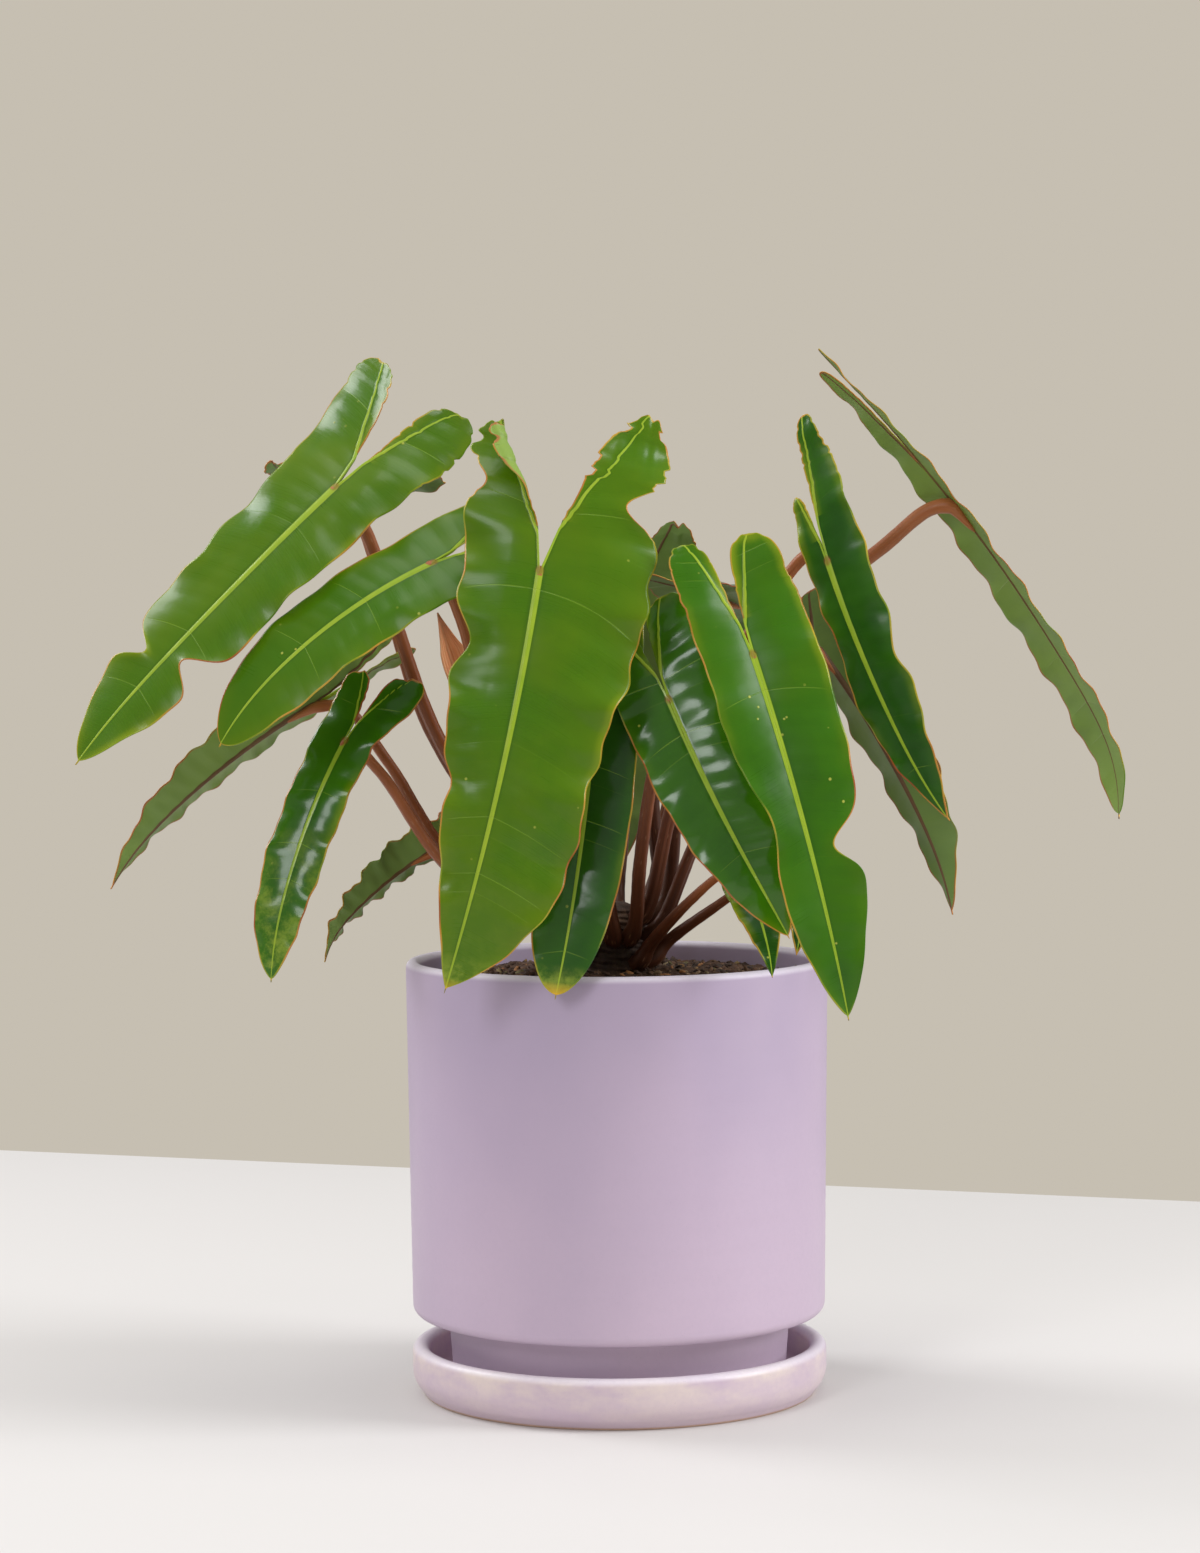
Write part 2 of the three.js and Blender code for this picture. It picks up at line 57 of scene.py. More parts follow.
# ---- sizes, in millimetres, as in the solid part ------------------------------------------------------
TOTAL_HEIGHT = 206
POT_RADIUS = 100
POT_TAPER = 2
POT_WALL = 6.5
POT_FLOOR = 8
POT_EDGE = 5
BODY_BOTTOM = 38
FOOT_RADIUS = 81
FOOT_TAPER = 2
DRAIN_RADIUS = 7
SAUCER_HEIGHT = 24
SAUCER_RADIUS = 98.5
SAUCER_BASE_RADIUS = 93
SAUCER_WALL = 8
SAUCER_FLOOR = 6
SOIL_BELOW_RIM = 6
SOIL_MOUND = 3
CROWN_RADIUS = 15
CROWN_HEIGHT = 33
CROWN_BURIED = 16
STALK_BASE_RADIUS = 3.4
FIT_GAP = 0.4
SOIL_TOP = TOTAL_HEIGHT - SOIL_BELOW_RIM
FOOT_BOTTOM = SAUCER_FLOOR + FIT_GAP
POT_INSIDE_FLOOR = FOOT_BOTTOM + POT_FLOOR
SOIL_RADIUS = POT_RADIUS - POT_WALL - POT_TAPER - FIT_GAP
OVER_RIM = -POT_RADIUS  # the way towards the room at which a hanging leaf meets the rim

BLADE_EDGE = 0.45  # a blade's real thickness at its margin
VEIN_GAP = 8.5  # along the midrib, from one side vein to the next
STALK_RUN_OUT = 17  # how far a stalk runs on under its blade
TURNS = 256  # steps round the pot and saucer
MM = 0.001

# ---- leaves -------------------------------------------------------------------------------------------
# Places are in millimetres from the soil's surface on the pot's axis, X right, Y away, Z up. Pairs are the
# (left, right) halves seen on the upper face with the tip down, and one number stands for both; t is the
# place along the midrib, 0 at the joint and 1 at the tip, and below 0 on the lobes.
#   joint, tip    where the stalk meets the blade, and the blade's point
#   looks         roughly the way the upper face looks
#   half, narrows, blunt   a half's width, and the two powers that shape its run to the tip
#   lobe, lobe_out, lobe_half, lane   a lobe's length, how far out its middle swings, half its width, and
#                 how far in from its inner edge its rib ends, as a share of the width
#   waists        (side, t, depth, length) of each narrow place; a negative depth is a bulge
#   arch, sway, lift, droop   how far the midrib bows out of the face and sideways, the lobes' ends rise,
#                 and the blade hooks near its tip
#   fold, curl    degrees that each half stands up from the midrib, and bends on by across its width
#   waves, scallop, ragged, quilt   the margin's rise and how many waves it has, its small ripple, how torn
#                 the lobes' ends are, and how much the skin swells between veins
#   roll          degrees that the strip inside a lobe's rib rolls over
#   node, stalk, thick, rib   the stalk's (bearing, height) on the crown, its way, its radius at the joint,
#                 and the midrib's size, which follows the half's width where it isn't given
#   tone, spots, gold, shine   dark (0) to light yellow-green (1), mottling and gold towards the tip, gloss
USUAL = dict(
    narrows=2.6, blunt=1.0, lane=0.36, waists=(), arch=8, sway=0, lift=2, droop=2.0, curl=-20, roll=10,
    quilt=0.05, spots=0.0, gold=0.0, shine=0.3)
PAIRED = ("half", "narrows", "lobe", "lobe_out", "lobe_half", "lane", "fold", "curl", "roll")
LEAVES = {
    "left_high": dict(
        joint=(-126, -70, 227), tip=(-242, -95, 103), looks=(-0.35, -0.85, 0.45), half=(32, 29),
        narrows=3.4, blunt=0.75, lobe=(62, 63), lobe_out=(34, 24), lobe_half=(19, 17), lane=(0.42, 0.3),
        waists=((-1, 0.37, 0.14, 0.06), (-1, 0.66, 0.62, 0.04), (1, 0.36, 0.1, 0.1),
                (1, 0.62, 0.62, 0.045)), sway=3, lift=4, fold=(6, 10), curl=(-20, -24), waves=(1.5, 3.0),
        scallop=0.35, ragged=0.3, node=(-155, 17.5),
        stalk=((-54, -20, 64), (-84, -33, 116), (-101, -44, 166), (-113, -54, 206)), thick=3.2, rib=0.8,
        tone=0.9, shine=0.25),
    "left_middle": dict(
        joint=(-81, -95, 192), tip=(-176, -110, 111), looks=(-0.3, -0.85, 0.5), half=(22, 24),
        narrows=4.4, blunt=0.6, lobe=(40, 38), lobe_out=(15, 16), lobe_half=10, sway=-5, lift=3,
        fold=(5, 8), curl=(-16, -20), waves=(0.8, 3.0), scallop=0.25, ragged=0.1, node=(-143, 27),
        stalk=((-43, -50, 84), (-60, -64, 132), (-70, -80, 170)), thick=3, rib=0.7, tone=0.85,
        shine=0.05),
    "front_large": dict(
        joint=(-33, -112, 188), tip=(-77, OVER_RIM - 16, 1), looks=(0, -1, 0.15), half=(35, 51),
        narrows=(1.8, 4.4), blunt=0.9, lobe=(62, 78), lobe_out=(28, 38), lobe_half=(16, 17),
        lane=(0.5, 0.4),
        waists=((-1, 0.19, 0.22, 0.05), (-1, -0.185, 0.25, 0.035), (-1, 0.52, 0.12, 0.05),
                (1, -0.19, 0.4, 0.05), (1, 0.45, 0.2, 0.25)), arch=12, sway=4, lift=-4, fold=4,
        curl=(-22, -26), waves=(2.8, 4.0), scallop=1.0, ragged=1.0, roll=(100, 14), node=(-118, 27),
        stalk=((-22, -50, 80), (-35, -78, 130), (-36, -98, 166)), thick=3.2, rib=0.72, tone=0.95,
        spots=0.1, gold=0.75, shine=0.15),
    "front_dark": dict(
        joint=(-8, -75, 150), tip=(-28, OVER_RIM - 8, -3), looks=(0.1, -1, 0.25), half=(22, 21),
        narrows=4.5, blunt=0.55, lobe=36, lobe_out=(14, 13), lobe_half=9, arch=5, sway=3, fold=(6, 22),
        curl=(-30, -18), waves=(1.0, 4.0), scallop=0.25, ragged=0.2, node=(-95, 17.5),
        stalk=((-6, -34, 52), (-5, -50, 94), (-5, -62, 130)), thick=2.8, rib=0.65, tone=0.28, gold=1.0,
        shine=0.9),
    "right_glossy": dict(
        joint=(24, -91, 130), tip=(77, OVER_RIM - 3, 23), looks=(0.1, -1, 0.3), half=(23, 24),
        narrows=2.8, blunt=0.8, lobe=44, lobe_out=(16, 15), lobe_half=12, sway=-4, fold=(12, 25),
        curl=(-34, -20), waves=(1.2, 4.0), scallop=0.4, ragged=0.2, roll=14, quilt=0.2, node=(-68, 17.5),
        stalk=((11, -40, 52), (16, -62, 90), (22, -80, 118)), thick=2.8, rib=0.7, tone=0.5, shine=1.0),
    "right_front": dict(
        joint=(61, -108, 150), tip=(102, OVER_RIM - 22, -12), looks=(0, -1, 0.2), half=(25, 30),
        narrows=(3, 2.4), blunt=0.8, lobe=(56, 54), lobe_out=(17, 15), lobe_half=(11, 12),
        waists=((1, 0.54, 0.55, 0.06), (-1, 0.46, 0.35, 0.14)), sway=2, fold=(34, 8), curl=(-20, -22),
        waves=(1.5, 3.5), scallop=0.5, ragged=0.3, roll=12, node=(-48, 27),
        stalk=((27, -40, 82), (46, -70, 128), (57, -94, 146)), thick=3, rib=0.75, tone=0.55, shine=0.1),
    "right_shaded": dict(
        joint=(95, -34, 152), tip=(155, -50, 29), looks=(0.7, 0.7, 0.5), half=(23, 21), blunt=0.9,
        lobe=(26, 24), lobe_out=12, lobe_half=8, fold=(45, 30), waves=(1.5, 4.0), scallop=0.4, ragged=0.2,
        node=(-22, 17.5), stalk=((40, -20, 67), (70, -30, 116), (86, -39, 142)), thick=2.4, tone=0.4),
    "right_tall": dict(
        joint=(97, -70, 192), tip=(151, -80, 74), looks=(-0.6, -0.78, 0.15), half=(12, 20), narrows=2.8,
        blunt=0.9, lobe=(34, 66), lobe_out=(6, 11), lobe_half=(4, 7),
        waists=((-1, 0.25, 0.2, 0.06), (-1, 0.62, -0.3, 0.2), (1, 0.38, 0.15, 0.06)), arch=9, lift=0,
        fold=6, waves=(1.6, 3.5), scallop=0.2, ragged=0.5, roll=(20, 14), node=(3, 27),
        stalk=((35, -28, 121), (58, -36, 152), (78, -42, 183), (89, -48, 195)), thick=3, tone=0.33,
        shine=0.0),
    "right_far": dict(
        joint=(161, -10, 219), tip=(236, -20, 71), looks=(0.75, 0.6, 0.4), half=(17, 16), narrows=6,
        blunt=0.6, lobe=(92, 84), lobe_out=6, lobe_half=4.5, arch=11, lift=-8, droop=8.0, fold=(-28, 6),
        curl=-10, waves=(1.2, 5.0), scallop=0.5, ragged=0.25, roll=20, node=(32, 27),
        stalk=((19, 0, 95), (40, -2, 132), (61, -4, 156), (88, -6, 172), (125, -8, 198), (149, -9, 217)),
        thick=3.3, tone=0.65),
    "left_low": dict(
        joint=(-123, -70, 112), tip=(-156, -90, 4), looks=(-0.25, -0.9, 0.35), half=(15, 14),
        narrows=(5, 4), blunt=0.75, lobe=(34, 36), lobe_out=(8, 17), lobe_half=(8, 11), arch=7, sway=-3,
        fold=(14, 12), curl=-30, waves=(1.2, 4.0), scallop=0.3, ragged=0.4, roll=(30, 10), node=(-162, 8),
        stalk=((-77, -38, 51), (-108, -56, 97)), thick=2.6, tone=0.42, spots=1.0, shine=0.7),
    "left_far": dict(
        joint=(-140, -30, 128), tip=(-233, -50, 44), looks=(-0.5, 0.55, 0.7), half=(17, 19), lobe=54,
        lobe_out=12, lobe_half=7, fold=(30, 45), waves=(1.2, 5.0), scallop=0.25, ragged=0.25, roll=30,
        quilt=0.7, node=(-178, 17.5), stalk=((-75, -13, 52), (-106, -22, 100), (-126, -26, 126)),
        thick=2.6, tone=0.6),
    "left_small": dict(
        joint=(-86, 0, 58), tip=(-136, -34, 8), looks=(-0.5, 0.5, 0.7), half=(15, 16), lobe=24,
        lobe_out=8, lobe_half=6, arch=6, fold=(30, 45), curl=-24, waves=(1.4, 5.0), scallop=0.3,
        ragged=0.2, quilt=0.9, node=(170, 8), stalk=((-52, 6, 32), (-79, 4, 55)), thick=2.2, tone=0.5),
    "back_left": dict(
        joint=(-130, 22, 232), tip=(-178, 120, 172), looks=(-0.11, 0.48, 0.87), half=26, lobe=(28, 32),
        lobe_out=(40, 48), lobe_half=(9, 8), arch=10, lift=4, fold=4, curl=-14, waves=(1.6, 4.0),
        scallop=0.5, ragged=0.8, node=(160, 27),
        stalk=((-52, 4, 60), (-88, 6, 115), (-105, 8, 166), (-120, 12, 214)), thick=3, tone=0.3),
    "back_centre": dict(
        joint=(5, 72, 158), tip=(0, 106, 34), looks=(0, 1, 0.25), half=28, narrows=2.4, lobe=62,
        lobe_out=24, lobe_half=15, fold=6, curl=-24, waves=(1.8, 4.0), scallop=0.8, ragged=0.8,
        node=(88, 27), stalk=((6, 44, 90), (8, 60, 140)), thick=3, tone=0.5),
    "back_right": dict(
        joint=(52, 24, 176), tip=(112, 90, 124), looks=(0.1, 0.2, 1), half=24, lobe=44, lobe_out=18,
        lobe_half=11, fold=8, waves=(1.5, 4.0), scallop=0.5, ragged=0.4, node=(50, 17.5),
        stalk=((26, 24, 80), (42, 26, 140), (49, 24, 166)), thick=2.8, tone=0.3),
    "back_low_left": dict(
        joint=(-42, 56, 118), tip=(-66, 112, 20), looks=(-0.3, 0.9, 0.35), half=19, narrows=2.8, lobe=36,
        lobe_out=14, lobe_half=9, fold=10, waves=(1.3, 4.0), scallop=0.5, ragged=0.3, node=(122, 17.5),
        stalk=((-20, 28, 52), (-35, 45, 98)), thick=2.6, tone=0.4),
    "back_low_right": dict(
        joint=(56, 50, 122), tip=(84, 112, 30), looks=(0.3, 0.9, 0.35), half=19, narrows=2.8, lobe=36,
        lobe_out=14, lobe_half=9, fold=10, waves=(1.3, 4.0), scallop=0.5, ragged=0.3, node=(66, 6),
        stalk=((22, 34, 50), (46, 42, 102)), thick=2.6, tone=0.45),
    "right_small": dict(
        joint=(58, -68, 52), tip=(69, OVER_RIM - 7, 6), looks=(0.2, -1, 0.5), half=13, narrows=2, lobe=18,
        lobe_out=8, lobe_half=5, arch=4, lift=1, fold=10, waves=(0.6, 4.0), scallop=0.3, ragged=0.1,
        roll=6, node=(-50, 6), stalk=((34, -45, 36), (50, -60, 50)), thick=1.8, tone=0.1),
    "right_smallest": dict(
        joint=(84, -40, 54), tip=(82, -64, 12), looks=(0.3, -1, 0.4), half=10, narrows=2, lobe=14,
        lobe_out=6, lobe_half=4, arch=3, lift=1, fold=10, waves=(0.5, 4.0), scallop=0.3, ragged=0.1,
        roll=6, node=(-5, 6), stalk=((46, -12, 30), (74, -32, 50)), thick=1.6, tone=0.1),
}
SHEATH_LINE = ((-12.5, -15.5, 9), (-34, -28, 42), (-54, -36, 84), (-70, -46, 134), (-81, -55, 170))
SHEATH_WIDTH = 10


# ---- meshes -------------------------------------------------------------------------------------------
def unit(v):
    """Vectors divided by their lengths; one of no length stays as it is."""
    length = np.linalg.norm(v, axis=-1, keepdims=True)
    return v / np.where(length > 1e-12, length, 1)


def within(x):
    """Numbers held between 0 and 1."""
    return np.clip(x, 0, 1)


def bell(x, wide):
    """e to the power of minus the square of x / wide: 1 at 0 and nearly 0 past twice the width."""
    return np.exp(-((x / wide) ** 2))


def circle(steps):
    """Even steps round a full turn, in radians."""
    return np.linspace(0, 2 * np.pi, steps, endpoint=False)


def patch(rows, columns, start=0, wrap=False, flip=False):
    """The four corners of every cell of a rows by columns grid of points, optionally closed round."""
    index = start + np.arange(rows * columns).reshape(rows, columns)
    if wrap:
        index = np.concatenate([index, index[:, :1]], 1)
    quads = np.stack([index[:-1, :-1], index[1:, :-1], index[1:, 1:], index[:-1, 1:]], -1).reshape(-1, 4)
    return quads[:, ::-1] if flip else quads


def new_piece(name, points, quads, finish, nodes, extras=None, under=None):
    """A smooth closed mesh from points in millimetres and the four corners of its cells. Points that agree
    to a hundredth of a micron count as one; a cell that shrinks to a line goes, and one that shrinks to
    three corners becomes a triangle. extras are vectors held at the points; under is (which cells, second
    finish)."""
    _, first, inverse = np.unique(np.round(points, 5), axis=0, return_index=True, return_inverse=True)
    points, quads = points[first], inverse.reshape(-1)[quads]
    same = quads == np.roll(quads, -1, 1)
    whole = (same.sum(1) == 0) & (quads[:, 0] != quads[:, 2]) & (quads[:, 1] != quads[:, 3])
    shrunk = same.sum(1) == 1
    after = same[shrunk].argmax(1)[:, None] + 1
    triangles = np.take_along_axis(quads[shrunk], (after + np.arange(3)) % 4, 1)
    corners = np.concatenate([quads[whole].reshape(-1), triangles.reshape(-1)])
    sizes = np.repeat([4, 3], [whole.sum(), shrunk.sum()])
    mesh = bpy.data.meshes.new(name)
    mesh.vertices.add(len(points))
    mesh.vertices.foreach_set("co", (points * MM).astype(np.float32).reshape(-1))
    mesh.loops.add(len(corners))
    mesh.loops.foreach_set("vertex_index", corners.astype(np.int32))
    mesh.polygons.add(len(sizes))
    mesh.polygons.foreach_set("loop_start", (np.cumsum(sizes) - sizes).astype(np.int32))
    mesh.polygons.foreach_set("use_smooth", np.ones(len(sizes), bool))
    mesh.materials.append(finish)
    for key, values in (extras or {}).items():
        held = mesh.attributes.new(key, "FLOAT_VECTOR", "POINT")
        held.data.foreach_set("vector", values[first].astype(np.float32).reshape(-1))
    if under is not None:
        mesh.materials.append(under[1])
        beneath = np.concatenate([under[0][whole], under[0][shrunk]])
        mesh.polygons.foreach_set("material_index", beneath.astype(np.int32))
    mesh.update(calc_edges=True)
    mesh.validate()
    made = bpy.data.objects.new(name, mesh)
    bpy.context.scene.collection.objects.link(made)
    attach(made, "root")
    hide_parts(*nodes)
    return made


def lumps(x, y, size, seed):
    """Smooth random heights from 0 to 1 over a plane: random numbers on a square lattice of the given
    spacing, eased between its corners."""
    table = np.random.default_rng(seed).random((64, 64))
    u, v = x / size + 1000.5, y / size + 1000.5
    i, j = np.floor(u).astype(int), np.floor(v).astype(int)
    a, b = u - i, v - j
    a, b = a * a * (3 - 2 * a), b * b * (3 - 2 * b)
    corner = lambda di, dj: table[(i + di) % 64, (j + dj) % 64]
    low = corner(0, 0) * (1 - a) + corner(1, 0) * a
    high = corner(0, 1) * (1 - a) + corner(1, 1) * a
    return low * (1 - b) + high * b


# ---- finishes -----------------------------------------------------------------------------------------
class Signal:
    """A socket of a finish's nodes. Sums, differences and products of signals and numbers add Math nodes.
    """

    def __init__(self, finish, socket):
        self.finish, self.socket = finish, socket

    def math(self, operation, *values):
        return self.finish.node("Math", dict(operation=operation), *values)

    def __add__(self, other):
        return self.math("ADD", self, other)

    def __sub__(self, other):
        return self.math("SUBTRACT", self, other)

    def __rsub__(self, other):
        return self.math("SUBTRACT", other, self)

    def __mul__(self, other):
        return self.math("MULTIPLY", self, other)

    def __abs__(self):
        return self.math("ABSOLUTE", self)

    __radd__, __rmul__ = __add__, __mul__

    def floor(self):
        return self.math("FLOOR", self)

    def most(self, other):
        return self.math("MAXIMUM", self, other)

    def least(self, other):
        return self.math("MINIMUM", self, other)

    def share(self):
        """Held between 0 and 1."""
        return self.most(0.0).least(1.0)

    def rise(self, start, end):
        """0 below start, 1 above end and smooth between; falls instead if start is the larger."""
        settings = dict(interpolation_type="SMOOTHSTEP", clamp=True)
        if start < end:
            return self.finish.node("MapRange", settings, self, start, end, 0.0, 1.0)
        return self.finish.node("MapRange", settings, self, end, start, 1.0, 0.0)

    def part(self, name):
        """Another output of the same node, such as an axis of a split vector."""
        return Signal(self.finish, self.socket.node.outputs[name])


class Finish:
    """One material: a Principled surface whose sockets are set or fed by signals."""

    def __init__(self, name, **uniform):
        self.material = bpy.data.materials.new(name)
        self.material.use_nodes = True
        self.tree = self.material.node_tree
        self.tree.nodes.clear()
        self.surface = self.node("BsdfPrincipled", {}).socket.node
        self.node("OutputMaterial", {}, Signal(self, self.surface.outputs[0]))
        for socket, value in uniform.items():
            self.surface.inputs[socket.replace("_", " ")].default_value = value

    def node(self, kind, settings, *values, **named):
        """A node of that kind with its settings made first, then its sockets, in order or by name, set
        to a number, colour or vector or fed by a signal."""
        made = self.tree.nodes.new("ShaderNode" + kind)
        for key, value in settings.items():
            if key == "stops":
                for k, (place, colour) in enumerate(value):
                    stop = made.color_ramp.elements[k] if k < 2 else made.color_ramp.elements.new(place)
                    stop.position = place
                    stop.color = (*colour, 1)
            else:
                setattr(made, key, value)
        sockets = [s for s in made.inputs if s.enabled]
        by_name = [(made.inputs[key.replace("_", " ")], value) for key, value in named.items()]
        for socket, value in list(zip(sockets, values)) + by_name:
            if isinstance(value, Signal):
                self.tree.links.new(value.socket, socket)
            elif isinstance(value, tuple) and len(value) == 3 and len(socket.default_value) == 4:
                socket.default_value = (*value, 1)
            else:
                socket.default_value = value
        outputs = [s for s in made.outputs if s.enabled]
        return Signal(self, outputs[0]) if outputs else None

    def feed(self, **signals):
        for socket, signal in signals.items():
            self.tree.links.new(signal.socket, self.surface.inputs[socket.replace("_", " ")])

    def places(self):
        """The point's place in the object, in metres."""
        return self.node("TexCoord", {}).part("Object")

    def held(self, name):
        """A vector held at the mesh's points."""
        return self.node("Attribute", dict(attribute_name=name)).part("Vector")

    def split(self, vector):
        first = self.node("SeparateXYZ", {}, vector)
        return first, first.part("Y"), first.part("Z")

    def join(self, x, y, z):
        return self.node("CombineXYZ", {}, x, y, z)

    def stretch(self, vector, x, y, z):
        return self.node("VectorMath", dict(operation="MULTIPLY"), vector, (x, y, z))

    def noise(self, vector, scale, detail=2.0, roughness=0.5):
        return self.node("TexNoise", {}, Vector=vector, Scale=scale, Detail=detail, Roughness=roughness)

    def cells(self, vector, scale):
        return self.node("TexVoronoi", dict(feature="F1"), Vector=vector, Scale=scale)

    def colours(self, factor, *stops):
        """A colour that runs through the stops (place, colour) as factor goes from 0 to 1."""
        return self.node("ValToRGB", dict(stops=stops), factor)

    def blend(self, factor, first, second):
        return self.node("Mix", dict(data_type="RGBA", clamp_factor=True), factor, first, second)

    def done(self, colour, rough, height, depth, strength, **signals):
        """Feeds colour, roughness and any other signals, and the normal from a height of 0 to 1 that stands
        for depth in metres. Gives the material."""
        normal = self.node("Bump", {}, Strength=strength, Distance=depth, Height=height)
        self.feed(Base_Color=colour, Roughness=rough, Normal=normal, **signals)
        return self.material


def leaf_veins(finish):
    """What both faces of a blade share: the midrib's mask, the distance from the margin, the main side
    veins, fine side veins that run with them, and millimetres down and away from the joint. The blade map
    holds those two, and a count that goes up by one from each side vein to the next; the blade marks hold
    the distance from a rib in rib widths, from the margin in millimetres, and, unread here, the share of
    the way across the half."""
    down, away, count = finish.split(finish.held("blade_map"))
    rib, margin, _ = finish.split(finish.held("blade_marks"))
    number = (count + 0.5).floor()
    off = abs(count - number)
    shown = finish.node("TexWhiteNoise", dict(noise_dimensions="1D"), number).rise(0.76, 0.9)
    wander = finish.noise(finish.places(), 60.0, 2.0) - 0.5
    main = abs(off + wander * 0.05).rise(0.04, 0.012) * shown * margin.rise(1.0, 9.0)
    fine = finish.noise(finish.join(count * 9.0, away * 0.035, 0.0), 1.0, 3.0, 0.6)
    return dict(rib=rib.rise(1.1, 0.85), near_rib=rib.rise(2.6, 1.0), margin=margin, main=main,
                fine=fine, down=down, away=away)


def upper_face():
    """Glossy green: darker between the veins, yellow-green on the midrib and towards light leaves, with a
    pale to orange-red line along stretches of the margin, a red-brown joint and a few pale specks. The leaf
    look holds tone from dark to light, age and shine; age runs from green through mottled (1) and golden
    (2) to dead brown (3)."""
    finish = Finish("leaf_upper_gloss", IOR=1.3, Subsurface_Weight=0.06, Subsurface_Scale=0.002,
                    Coat_Roughness=0.14, Coat_IOR=1.4)
    finish.surface.inputs["Subsurface Radius"].default_value = (0.6, 1.0, 0.2)
    leaf = leaf_veins(finish)
    place = finish.places()
    cloud = finish.noise(place, 28.0, 3.0)
    drift = finish.noise(place, 9.0, 1.0)
    tone, old, shine = finish.split(finish.held("leaf_look"))
    shade = tone * 0.75 + cloud * 0.44 + drift * 0.34 - 0.36 + leaf["fine"] * 0.05
    shade = (shade + leaf["margin"].rise(9.0, 0.0) * 0.1).share()
    green = finish.colours(
        shade, (0.0, (0.006, 0.034, 0.006)), (0.25, (0.014, 0.070, 0.003)), (0.5, (0.034, 0.130, 0.001)),
        (0.7, (0.052, 0.142, 0.0)), (1.0, (0.100, 0.175, 0.0)))
    green = finish.blend(leaf["main"] * 0.45, green, (0.19, 0.33, 0.02))
    # painted shade: a darker band along each side of the raised midrib
    rib_groove_shade = leaf["near_rib"] * (1.0 - leaf["rib"])
    green = finish.blend(rib_groove_shade * 0.25, green, (0.01, 0.05, 0.004))
    mottle = finish.noise(place, 90.0, 5.0, 0.7).rise(0.4, 0.68) * old.least(1.0)
    green = finish.blend(mottle * 0.75, green, (0.30, 0.38, 0.04))
    rib_colour = finish.blend(finish.noise(place, 90.0, 2.0), (0.20, 0.34, 0.012), (0.36, 0.46, 0.03))
    green = finish.blend(leaf["rib"] * 0.95, green, rib_colour)
    speck = finish.cells(place, 130.0).rise(0.11, 0.06) * finish.noise(place, 30.0, 1.0).rise(0.6, 0.68)
    green = finish.blend(speck * 0.7, green, (0.5, 0.5, 0.08))
    green = finish.blend((old - 1.0).share(), green, (0.80, 0.42, 0.02))
    green = finish.blend((old - 2.0).share(), green, (0.13, 0.04, 0.015))
    from_joint = leaf["down"] * leaf["down"] + leaf["away"] * leaf["away"] * 1.6
    green = finish.blend(from_joint.rise(9.0, 1.0) * 0.6, green, (0.22, 0.05, 0.02))
    edge_kind = finish.noise(place, 20.0, 2.0)
    edge_colour = finish.colours(edge_kind, (0.36, (0.36, 0.07, 0.02)), (0.47, (0.55, 0.24, 0.04)),
                                 (0.6, (0.36, 0.42, 0.03)))
    line = leaf["margin"].rise(0.95, 0.4) * edge_kind.rise(0.66, 0.5)
    green = finish.blend(line * 0.9, green, edge_colour)
    glow = leaf["margin"].rise(5.0, 0.4) * finish.noise(place, 14.0, 1.0).rise(0.5, 0.7)
    green = finish.blend(glow * 0.45, green, (0.30, 0.36, 0.01))
    rough = leaf["fine"] * 0.08 + 0.22 + cloud * 0.08 - shine * 0.08 + leaf["rib"] * 0.15
    height = leaf["fine"] * 0.12 + leaf["main"] * -0.5 + cloud * 0.8 + speck * 0.3
    return finish.done(green, rough.most(0.1), height, 0.0005, 0.6, Coat_Weight=shine * 0.6)


def under_face():
    """Paler and duller than the upper face, with raised side veins and a red-brown midrib."""
    finish = Finish("leaf_under_dull", IOR=1.38)
    leaf = leaf_veins(finish)
    place = finish.places()
    cloud = finish.noise(place, 30.0, 3.0)
    tone = finish.split(finish.held("leaf_look"))[0]
    shade = (tone * 0.6 + cloud * 0.5 + leaf["fine"] * 0.08 - 0.09).share()
    green = finish.colours(shade, (0.0, (0.06, 0.11, 0.035)), (0.45, (0.14, 0.225, 0.055)),
                           (0.9, (0.24, 0.36, 0.045)))
    green = finish.blend(leaf["main"] * 0.4, green, (0.26, 0.33, 0.12))
    brown = finish.blend(cloud, (0.09, 0.03, 0.018), (0.17, 0.07, 0.035))
    green = finish.blend(leaf["rib"] * 0.9, green, brown)
    line = leaf["margin"].rise(0.95, 0.4) * finish.noise(place, 20.0, 2.0).rise(0.66, 0.5)
    green = finish.blend(line * 0.85, green, (0.36, 0.11, 0.03))
    return finish.done(green, leaf["fine"] * 0.15 + 0.42, leaf["main"] * 0.4 + cloud * 0.5, 0.0005, 0.5)


def stalk_skin():
    """Smooth skin in streaks along the stalk: dark red-brown at the crown, terracotta towards the blade,
    with small pale flecks."""
    finish = Finish("stalk_red_brown", IOR=1.38, Subsurface_Weight=0.04, Subsurface_Scale=0.002)
    around, along, high = finish.split(finish.held("stalk_map"))
    place = finish.places()
    streak = finish.noise(finish.join(around * 9.0, along * 0.03, 0.0), 1.0, 3.0, 0.6)
    patchy = finish.noise(place, 45.0, 2.0)
    ripe = (high * 0.75 + streak * 0.35 + patchy * 0.25 - 0.2).share()
    colour = finish.colours(ripe, (0.0, (0.045, 0.018, 0.010)), (0.35, (0.15, 0.042, 0.014)),
                            (0.7, (0.32, 0.095, 0.028)), (1.0, (0.44, 0.16, 0.05)))
    fleck = finish.cells(finish.join(around * 5.0, along * 0.12, 0.0), 1.0).rise(0.2, 0.08)
    colour = finish.blend(fleck * 0.35, colour, (0.40, 0.22, 0.12))
    return finish.done(colour, streak * 0.2 + 0.34, streak * 0.8 + patchy * 0.4, 0.0004, 0.6)


